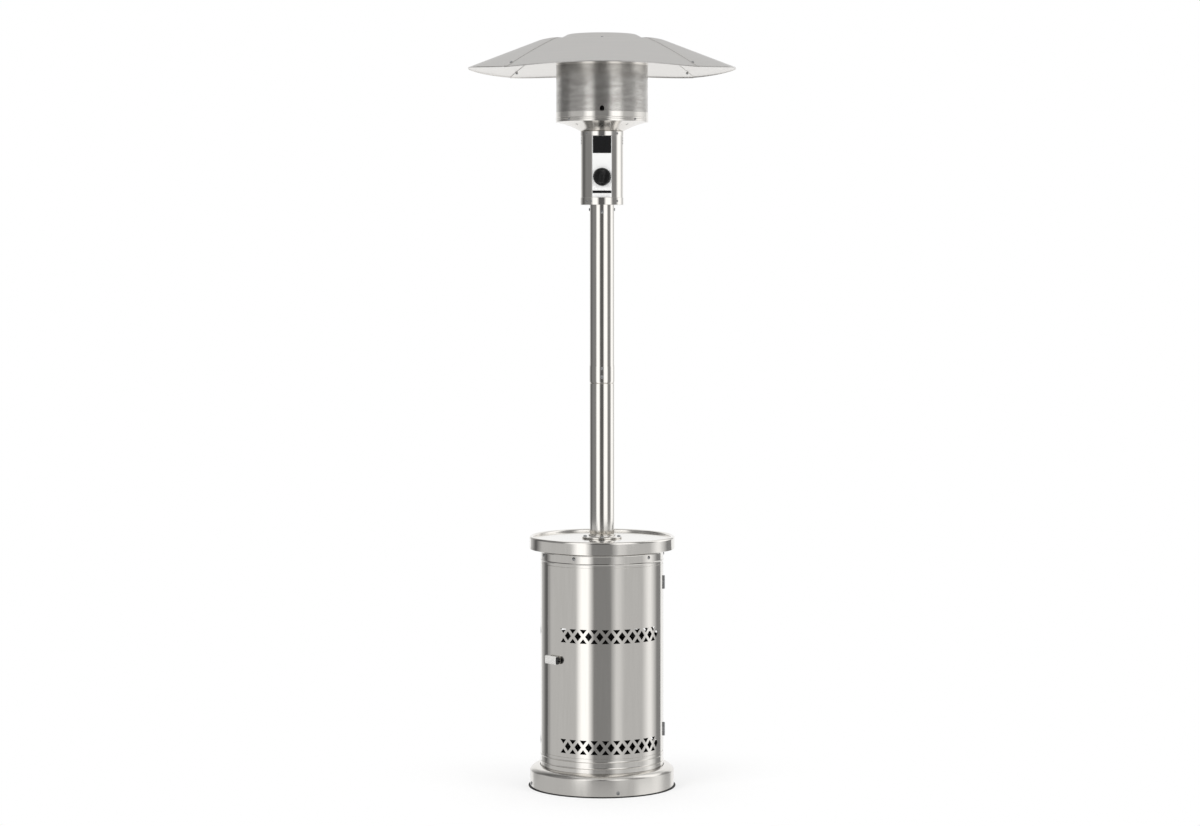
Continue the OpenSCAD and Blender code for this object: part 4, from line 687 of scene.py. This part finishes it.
# %% Table top and flange
POLE_TURNS = 128
HOLE_R, TABLE_R, TABLE_FOOT_Z, _ = measure("table_top")
FLANGE_IN_R, FLANGE_R, TABLE_Z, FLANGE_Z = measure("pole_flange")
SKIRT_Z = 745.0
RIM_Z = 758.0
RIM_ROUND = 6.5
RECESS_R = TABLE_R - 2 * RIM_ROUND
TOP_RINGS_R = (205.0, 120.0)
FLANGE_PLATE_Z = TABLE_Z + 5
FLANGE_NECK_R = 41.9
FILLET = (2.6, 2.5)

t = np.linspace(0, np.pi, 22)
rim = np.column_stack([TABLE_R - RIM_ROUND + RIM_ROUND * np.cos(t), RIM_Z + RIM_ROUND * np.sin(t)])
recess = rounded([(RECESS_R, RIM_Z), (RECESS_R, TABLE_Z), (TOP_RINGS_R[0], TABLE_Z)], 0.6)
table_path = np.concatenate([[(TABLE_R, TABLE_FOOT_Z + FOOT_LIFT), (TABLE_R, SKIRT_Z)], rim, recess[1:],
                             [(TOP_RINGS_R[1], TABLE_Z), (HOLE_R, TABLE_Z)]])
finish_piece(spun_sheet("pressed_table", table_path, SHEET_T, WIDE_TURNS), *POLISHED, "table_top")
flange = [(FLANGE_IN_R, TABLE_Z), (FLANGE_R, TABLE_Z), (FLANGE_R, FLANGE_PLATE_Z),
          (FLANGE_NECK_R + FILLET[0], FLANGE_PLATE_Z), (FLANGE_NECK_R, FLANGE_PLATE_Z + FILLET[1]),
          (FLANGE_NECK_R, FLANGE_Z), (FLANGE_IN_R, FLANGE_Z)]
finish_piece(spun("turned_pole_flange", flange, 1.4, POLE_TURNS), *POLISHED, "pole_flange")

# %% [markdown]
# ## Pole
# Two tubes: the lower one has a neck that the upper one slips over. The upper tube's end is swollen
# a little, and two screws on each side lock the joint.

# %% Pole tubes
POLE_T = 1.5
UPPER_R = 37.6
NECK_R = 35.9
NECK_L = 70.0
NECK_SLOPE = 2.0
SWOLLEN_L = 50.0
SWELL_SLOPE = 4.0
_, LOWER_R, lower_z0, lower_z1 = measure("lower_pole")
_, SWOLLEN_R, upper_z0, upper_z1 = measure("upper_pole")
JOINT_Z = lower_z1 - NECK_L
swollen_z = upper_z0 + SWOLLEN_L

lower_tube = rounded([(LOWER_R, lower_z0), (LOWER_R, JOINT_Z), (NECK_R, JOINT_Z + NECK_SLOPE),
                      (NECK_R, lower_z1)], 1.0)
upper_tube = rounded([(UPPER_R, upper_z0), (SWOLLEN_R, upper_z0 + SWELL_SLOPE), (SWOLLEN_R, swollen_z),
                      (UPPER_R, swollen_z + SWELL_SLOPE), (UPPER_R, upper_z1)], 2.0)
for node, path in (("lower_pole", lower_tube), ("upper_pole", upper_tube)):
    finish_piece(spun_sheet(f"drawn_{node}", path, POLE_T, POLE_TURNS), *POLISHED, node)

# %% [markdown]
# ## Burner bowl
# The bowl is spun too: a flat pan that sits in the head, a short neck, a flare that opens in one
# sweep, and a rim. Four slots in the flare let air in. Their edges lie on lines of the grid, so the
# slots are simply faces that are left out, and the sheet's edge is closed round them.

# %% Path of the bowl
BOWL_TURNS = 176
PAN_HOLE_R, BOWL_R, PAN_Z, BOWL_TOP_Z = measure("bowl")
PAN_R = measure("head_base")[1]
HEAD_TOP_Z = measure("head_housing")[3]
RIM_FOOT_Z = measure("burner_band")[2]
FLARE_START = (PAN_R + 0.3, HEAD_TOP_Z + 0.3)
FLARE_ARC_R = 250.0
SLOT_R = (103.5, 112.5)
SLOT_HALF_W = 2.0
SLOT_MID_R = 108.0

flare = arc((BOWL_R, RIM_FOOT_Z), FLARE_START, FLARE_ARC_R, 25)[::-1]
flare_r = np.sort(np.concatenate([flare[:, 0], SLOT_R]))
flare = np.column_stack([flare_r, np.interp(flare_r, flare[:, 0], flare[:, 1])])
pan = rounded([(PAN_HOLE_R, PAN_Z), (PAN_R, PAN_Z), (PAN_R, HEAD_TOP_Z), tuple(flare[1])], 1.2)
rim = rounded([tuple(flare[-2]), (BOWL_R, RIM_FOOT_Z), (BOWL_R, BOWL_TOP_Z)], 0.8)
bowl_path = np.concatenate([pan[:-1], flare[1:-1], rim[1:]])
print("flare from", FLARE_START, "to", (BOWL_R, RIM_FOOT_Z))


# %% Bowl with its slots
def off_slots(azimuth):
    """How far an azimuth lies from the middle of the nearest slot."""
    return np.min(np.abs(azimuth[:, None] - slot_azimuths), 1)


slot_azimuths = np.radians([45, 135, 225, 315])
slot_half_a = math.asin(SLOT_HALF_W / SLOT_MID_R)
regular = np.arange(BOWL_TURNS) * 2 * np.pi / BOWL_TURNS
clear = regular[off_slots(regular) >= slot_half_a * 1.4]
azimuth = np.sort(np.concatenate([clear, slot_azimuths - slot_half_a, slot_azimuths + slot_half_a]))
points = turned(bowl_path, azimuth)
faces = grid_faces(len(bowl_path), len(azimuth), wrap_cols=True)
middle = points[faces].mean(1)
middle_r = np.hypot(middle[:, 0], middle[:, 1]) * 1000
middle_a = np.arctan2(middle[:, 0], -middle[:, 1]) % (2 * np.pi)
in_slot = (middle_r > SLOT_R[0]) & (middle_r < SLOT_R[1]) & (off_slots(middle_a) < slot_half_a * 0.9)
print(int(in_slot.sum()), "faces left out for the slots")
finish_piece(shell_mesh("spun_bowl", points, faces[~in_slot], SHEET_T / 1000),
             satin_stainless, "polished_stainless", "bowl")

# %% [markdown]
# ## Rings of the head
# A band with two thin beads goes round the bowl's rim, a spun cap closes the screen, and two collars
# hold the head's housing. All four are rings or caps whose sizes the frame gives.

# %% Band, screen cap and collars
THIN_BEAD = {"out": 0.7, "half": 1.6, "steps": 7}
BEAD_OFFSETS = (6.3, 11.6)
RING_T = 0.9
EDGE_CUT = 0.3
TOP_RING_R = 100.0
CENTRE_R = 0.05


def ring_path(node, edge_h, beads=()):
    """A ring's wall from foot to top: both edges draw in by EDGE_CUT over a small height."""
    _, radius, foot, top = measure(node)
    rings = [bead(radius, foot + offset, **THIN_BEAD) for offset in beads]
    return np.concatenate([[(radius - EDGE_CUT, foot), (radius, foot + edge_h)], *rings,
                           [(radius, top - edge_h), (radius - EDGE_CUT, top)]])


_, top_r, top_z0, top_z1 = measure("emitter_top")
top_path = rounded([(top_r, top_z0), (top_r, top_z1), (TOP_RING_R, top_z1), (CENTRE_R, top_z1)], 1.8)
for node, path, thickness in (("burner_band", ring_path("burner_band", 0.4, BEAD_OFFSETS), RING_T),
                              ("emitter_top", top_path, SHEET_T),
                              ("lower_collar", ring_path("lower_collar", 0.5), RING_T),
                              ("upper_collar", ring_path("upper_collar", 0.5), RING_T)):
    finish_piece(spun_sheet(f"spun_{node}", path, thickness, BOWL_TURNS), *POLISHED, node)

# %% [markdown]
# ## Reflector
# Four sheets make the reflector. Each is flat in the middle, bends down at a soft fold and is rolled
# to a wide curve across. The left and right sheets lie over the others by a narrow flap. The height
# depends only on the larger and the smaller of the distances along the two axes, so one formula
# serves all four, and each sheet is a fan-shaped grid with a small hem turned down at its rim.

# %% Height of the reflector
HUB_R, REFLECTOR_R, _, FLAT_Z = measure("front_panel")
LAP_LIFT = measure("right_panel")[3] - FLAT_Z
FOLD_R = 189.0
SLOPE = math.radians(20.8)
ROLL_R = 830.0
FOLD_SOFT = 4.0
LAP_W = 14.0


def reflector_z(x, y):
    """The drop grows with the slope past the fold and with the roll across, and is blended to the flat
    middle by a parabola that is FOLD_SOFT high on each side."""
    u, v = np.maximum(np.abs(x), np.abs(y)), np.minimum(np.abs(x), np.abs(y))
    drop = (u - FOLD_R) * math.tan(SLOPE) + ROLL_R * (1 - np.cos(np.arcsin(v / ROLL_R))) / math.cos(SLOPE)
    blended = (drop + FOLD_SOFT) ** 2 / (4 * FOLD_SOFT)
    return FLAT_Z - np.where(drop > FOLD_SOFT, drop, np.where(drop < -FOLD_SOFT, 0, blended))


print("rim at the middle of a sheet", round(float(reflector_z(REFLECTOR_R, 0)), 1), "mm high")

# %% Reflector sheets and cap
RINGS = 76
COLUMNS = 60
HEM_START = 0.9
HEM_IN = np.array([0.3, 0.05, 0.0, 0.0])
HEM_DROP = np.array([0.25, 0.7, 1.5, 3.2])
FLAP_HEM_SHARE = 0.2
PANEL_T = 0.8
SEAM_A = math.pi / 4
SEAM_STEPS = (0.006, 0.02)
CAP_TURNS = 192
_, CAP_R, CAP_FOOT_Z, CAP_Z = measure("cap")
CAP_FOLD_R = 137.0
CAP_EDGE = (106.0, 1.1)

radius = np.concatenate([np.linspace(HUB_R, REFLECTOR_R - HEM_START, RINGS), REFLECTOR_R - HEM_IN])[:, None]
hem = np.concatenate([np.zeros(RINGS), HEM_DROP])[:, None]
near_seam, off_seam = SEAM_A - np.array(SEAM_STEPS)
inner_fan = np.linspace(-off_seam, off_seam, COLUMNS)
fan = np.concatenate([[-SEAM_A, -near_seam], inner_fan, [near_seam, SEAM_A]])


def formed_sheet(name, turn, over):
    """A fan of radius times angle, turned round the pole. A sheet that lies over its neighbours has a
    flap of LAP_W past each seam, and is lifted. Flaps keep only a trace of the hem."""
    angle = np.repeat(fan[None, :], len(radius), 0)
    if over:
        flap = np.arcsin(LAP_W / radius) * np.array([0.06, 0.5, 1.0])
        angle = np.concatenate([-SEAM_A - flap[:, ::-1], angle, SEAM_A + flap], 1)
    x, y = radius * np.cos(angle), radius * np.sin(angle)
    hem_here = hem * np.where(np.abs(angle) > SEAM_A + 1e-6, FLAP_HEM_SHARE, 1.0)
    z = reflector_z(x, y) - hem_here + (LAP_LIFT if over else 0.0)
    across = x * math.sin(turn) + y * math.cos(turn)
    to_front = x * math.cos(turn) - y * math.sin(turn)
    points = np.stack([across, -to_front, z], -1).reshape(-1, 3) / 1000
    return shell_mesh(name, points, grid_faces(*angle.shape)[:, ::-1], PANEL_T / 1000)


for quarter, node in enumerate(("front_panel", "right_panel", "back_panel", "left_panel")):
    sheet = formed_sheet(f"formed_{node}", quarter * math.pi / 2, quarter in (1, 3))
    finish_piece(sheet, reflector_sheet, "reflector_sheet", node)

cap_path = rounded([(CAP_R, CAP_FOOT_Z + PANEL_T), (CAP_FOLD_R, CAP_FOOT_Z + PANEL_T),
                    (CAP_EDGE[0], CAP_Z - CAP_EDGE[1]), (TOP_RING_R, CAP_Z), (CENTRE_R, CAP_Z)], [3, 5, 4])
finish_piece(spun_sheet("pressed_cap", cap_path, PANEL_T, CAP_TURNS),
             reflector_sheet, "reflector_sheet", "cap")

# %% [markdown]
# ## Control knob
# The knob is moulded: a skirt with fine ribs for the fingertips, a raised disc, and a bar to turn.
# It is a height field over a circle. The bar's height falls off smoothly past its width and length,
# and a shallow groove on its upper half points at the setting.

# %% Front of the knob
KNOB_BACK_Y, _, knob_z0, knob_z1 = measure("control_knob")
KNOB_Z = (knob_z0 + knob_z1) / 2
KNOB_R = (knob_z1 - knob_z0) / 2
KNOB_TURNS = 160
RIB_COUNT = 20
RIB_SHARE = 0.018
SKIRT_H = 4.0
DISC_H = 2.0
ROUND_EDGE_H = 0.9
GRIP_TILT = math.radians(-10)
GRIP_H = 12.0
# The bar's half width at its waist, and by how much it has grown that far along.
WAIST, WAIST_GROWTH, GROWN_AT = 6.2, 1.1, 20
GROOVE_DEPTH, GROOVE_MIDDLE = 0.8, 11
# Where each fall starts, and over which width it ends.
DISC_FALL, GRIP_END_FALL = (23.2, 2.4), (18.2, 3.4)
GRIP_SIDE_IN, GRIP_SIDE_W = 1.4, 3.0
GROOVE_SIDE_FALL, GROOVE_END_FALL = (0.6, 0.7), (5.5, 1.0)


def fall(distance, start, width):
    """One inside the start, zero past the width, and a smooth step between."""
    t = np.clip((distance - start) / width, 0, 1)
    return 1 - t * t * (3 - 2 * t)


turn = np.arange(KNOB_TURNS) * 2 * np.pi / KNOB_TURNS
share = np.concatenate([[0.004], np.linspace(0.03, 0.9, 44), [0.93, 0.96, 0.985, 1.0]])[:, None]
ribs = 1 - RIB_SHARE * (0.5 - 0.5 * np.cos(RIB_COUNT * turn))
rho = KNOB_R * share * np.where(share > 0.9, ribs[None, :], 1.0)
u, v = rho * np.cos(turn), rho * np.sin(turn)
along_bar = v * math.cos(GRIP_TILT) - u * math.sin(GRIP_TILT)
across_bar = np.abs(u * math.cos(GRIP_TILT) + v * math.sin(GRIP_TILT))
half_w = WAIST + WAIST_GROWTH * (along_bar / GROWN_AT) ** 2
grip = GRIP_H * fall(across_bar, half_w - GRIP_SIDE_IN, GRIP_SIDE_W) * fall(rho, *GRIP_END_FALL)
from_groove = np.abs(along_bar - GROOVE_MIDDLE)
grip -= GROOVE_DEPTH * fall(across_bar, *GROOVE_SIDE_FALL) * fall(from_groove, *GROOVE_END_FALL)
front = SKIRT_H + DISC_H * fall(rho, *DISC_FALL) - ROUND_EDGE_H * share ** 16 + np.maximum(grip, 0)
print("the knob's front rises to", front.max().round(1), "mm")

# %% Knob
# Past the front, rings of (radius, height above the back) close the skirt, the back and the spindle's
# hole.
BACK_RINGS = ((KNOB_R, 0.6), (KNOB_R - 0.5, 0.0), (4.4, 0.0), (4.4, 6.0), (0.1, 6.0))

rows = [(u, v, front)]
for ring_r, above in BACK_RINGS:
    edge = ring_r * (ribs if ring_r > KNOB_R - 1 else np.ones_like(ribs))
    rows.append((edge * np.cos(turn), edge * np.sin(turn), np.full(KNOB_TURNS, above)))
u, v, w = (np.concatenate([np.atleast_2d(row[i]) for row in rows]) for i in range(3))
points = np.stack([u, -(KNOB_BACK_Y + w), KNOB_Z + v], -1).reshape(-1, 3) / 1000
faces = grid_faces(*u.shape, wrap_cols=True)[:, ::-1]
ring = np.arange(KNOB_TURNS)
finish_piece(smooth_mesh("moulded_knob", points, faces, [ring, len(points) - 1 - ring]),
             moulded_black, "black_plastic", "control_knob", "knob")

# %% [markdown]
# ## Latch handle
# The handle is a bar with well rounded edges and a black moulded tip. Each cross section is a
# rounded rectangle, which gets smaller towards the ends the way a filed edge does.


# %% A bar on the door
LATCH_A = math.radians(-49.5)
LATCH_D, _, latch_z0, latch_z1 = measure("latch_handle")
LATCH_Z = (latch_z0 + latch_z1) / 2
LATCH_W = latch_z1 - latch_z0
LATCH_T = 12.0
LATCH_L = 62.0
LATCH_TIP_L = 9.0
EDGE_ROUND = 4.0
JOINT_ROUND = 0.8
TIP_GAP = 0.3
TIP_ROUND = 2.5
BAR_TURNS = 48


def bar(name, along, half_w, half_t):
    """A bar along x: at each place a superellipse with those half sizes, closed by flat ends."""
    turn = np.arange(BAR_TURNS) * 2 * np.pi / BAR_TURNS
    cosine, sine = np.cos(turn), np.sin(turn)
    w = half_w[:, None] * np.sign(sine) * np.abs(sine) ** 0.5
    t = half_t[:, None] * np.sign(cosine) * np.abs(cosine) ** 0.5
    x = np.repeat(along[:, None], BAR_TURNS, 1)
    out = LATCH_D + LATCH_T / 2 + t
    points = np.stack([x * math.cos(LATCH_A) + out * math.sin(LATCH_A),
                       x * math.sin(LATCH_A) - out * math.cos(LATCH_A), LATCH_Z + w], -1)
    points = points.reshape(-1, 3) / 1000
    faces = grid_faces(len(along), BAR_TURNS, wrap_cols=True)[:, ::-1]
    ring = np.arange(BAR_TURNS)
    return smooth_mesh(name, points, faces, [ring[::-1], len(points) - BAR_TURNS + ring])


def edge_inset(along, cut):
    """How far a rounded edge has drawn in at that distance from the end."""
    near = np.clip(cut - along, 0, cut)
    return cut - np.sqrt(cut * cut - near * near)


print("latch", LATCH_L, "by", LATCH_W, "by", LATCH_T, "mm")

# %% Latch handle and its tip
near_end, far_end = -LATCH_L / 2, LATCH_L / 2
split = far_end - LATCH_TIP_L
along = np.concatenate([near_end + EDGE_ROUND * (1 - np.cos(np.linspace(0, np.pi / 2, 9))),
                        np.linspace(near_end + 6, split - 1.5, 24), split - np.array([0.8, 0.3, 0.0])])
inset = edge_inset(along - near_end, EDGE_ROUND) + edge_inset(split - along, JOINT_ROUND)
handle = bar("rounded_latch_handle", along, LATCH_W / 2 - inset, LATCH_T / 2 - inset)
# The handle's pale grey lacquer is painted reflection: the steel handle is drawn lighter than the door.
finish_piece(handle, latch_painted_reflection, "polished_stainless", "latch_handle", "latch")

# The tip starts a small gap past the handle, and its far end is round seen from the front.
along = np.concatenate([split + np.array([TIP_GAP, 0.6, 1.1]), np.linspace(split + 2, far_end - 3, 9),
                        far_end - 3 + 2.9 * np.sin(np.linspace(0.15, np.pi / 2, 9))])
from_centre = np.maximum(along - (far_end - LATCH_W / 2), 0)
half_w = np.sqrt(np.maximum((LATCH_W / 2) ** 2 - from_centre ** 2, 1.0))
inset = edge_inset(along - split - TIP_GAP, JOINT_ROUND)
half_t = np.maximum(LATCH_T / 2 - inset - edge_inset(far_end - along, TIP_ROUND), 0.4)
tip = bar("moulded_latch_tip", along, half_w - inset, half_t)
finish_piece(tip, moulded_black, "black_plastic", "latch_end", "latch")

# %% [markdown]
# ## Screws
# The sheets are held by pan head screws with a cross recess. All heads of a node are one mesh: a
# template on a polar grid is moved to every place at once by adding arrays.


# %% Screw template
SCREW_TURNS = 32
HEAD_LIFT = 0.2
RECESS_HALF_SHARE = 0.13
RECESS_DEPTH_SHARE = 0.4


def screw_template(head_r, head_h, shank_r, shank_l):
    """A domed head is a cap of a sphere. Two crossed bands in it are sunk by a share of its height."""
    turn = np.arange(SCREW_TURNS) * 2 * np.pi / SCREW_TURNS
    share = np.array([0.08, 0.18, 0.28, 0.38, 0.46, 0.52, 0.58, 0.7, 0.84, 0.94, 1.0])[:, None]
    x, y = head_r * share * np.cos(turn), head_r * share * np.sin(turn)
    ball = (head_r ** 2 + head_h ** 2) / (2 * head_h)
    height = np.sqrt(ball ** 2 - (head_r * share) ** 2) - (ball - head_h) + np.zeros_like(x)
    recess = (np.minimum(np.abs(x), np.abs(y)) < RECESS_HALF_SHARE * head_r) & (share < 0.55)
    height -= np.where(recess, RECESS_DEPTH_SHARE * head_h, 0)
    for depth in (0.0, -shank_l):
        x, y = np.vstack([x, shank_r * np.cos(turn)]), np.vstack([y, shank_r * np.sin(turn)])
        height = np.vstack([height, np.full(SCREW_TURNS, depth)])
    return x, y, height


def screws(node, spots, *sizes):
    """One mesh of all screws of a node. Each spot is an azimuth in degrees, the distance of the surface
    from the axis and a height."""
    x, y, height = screw_template(*sizes)
    azimuth, out, z = (np.array(values, float)[:, None, None] for values in zip(*spots))
    azimuth = np.radians(azimuth)
    out = out + HEAD_LIFT + height
    points = np.stack([out * np.sin(azimuth) + x * np.cos(azimuth),
                       x * np.sin(azimuth) - out * np.cos(azimuth), z + y + 0 * out], -1)
    points = points.reshape(-1, 3) / 1000
    firsts = np.arange(len(spots)) * x.size
    quads = grid_faces(len(x), SCREW_TURNS, wrap_cols=True)[:, ::-1]
    faces = (quads[None] + firsts[:, None, None]).reshape(-1, 4)
    ring = np.arange(SCREW_TURNS)
    ends = [first + ring for first in firsts] + [first + x.size - 1 - ring for first in firsts]
    finish_piece(smooth_mesh(f"cross_{node}", points, faces, ends), zinc_steel, "zinc_steel", node)


# %% Screws in their places
CORNERS = (-45, 45, 135, 225)
SIDES = (0, 180)
COLLAR_R = measure("lower_collar")[1]
BURNER_BAND_R = measure("burner_band")[1]

# For each node: radius and height of the head, radius and length of the shank, and then its rows of
# screws with their azimuths, the radius of the sheet and the height above the floor.
SCREW_ROWS = {
    "cover_screws": ((5.5, 3, 2, 6), [((-77.3, 12.7, 102.7, 192.7), COVER_R, 13.6)]),
    "band_screws": ((5.5, 3, 2, 2.3), [((-70.3, -26.9, 48.9, 92.3, 150, 191, 232), HOUSING_R, 709.2)]),
    "pole_screws": ((5.5, 3, 2, 3), [(SIDES, SWOLLEN_R, 1251), (SIDES, SWOLLEN_R, 1276.9),
                                     (SIDES, UPPER_R, 1755.4), ((90, 270), UPPER_R, 1762.6)]),
    "collar_screws": ((3.5, 2, 1.5, 3), [((*CORNERS, -30), COLLAR_R, 1788),
                                         (CORNERS, COLLAR_R, 1994.3)]),
    "emitter_screws": ((4, 2.5, 1.5, 2), [(CORNERS, BURNER_BAND_R, 2036)]),
}
for node, (sizes, screw_rows) in SCREW_ROWS.items():
    screws(node, [(a, radius, z) for azimuths, radius, z in screw_rows for a in azimuths], *sizes)
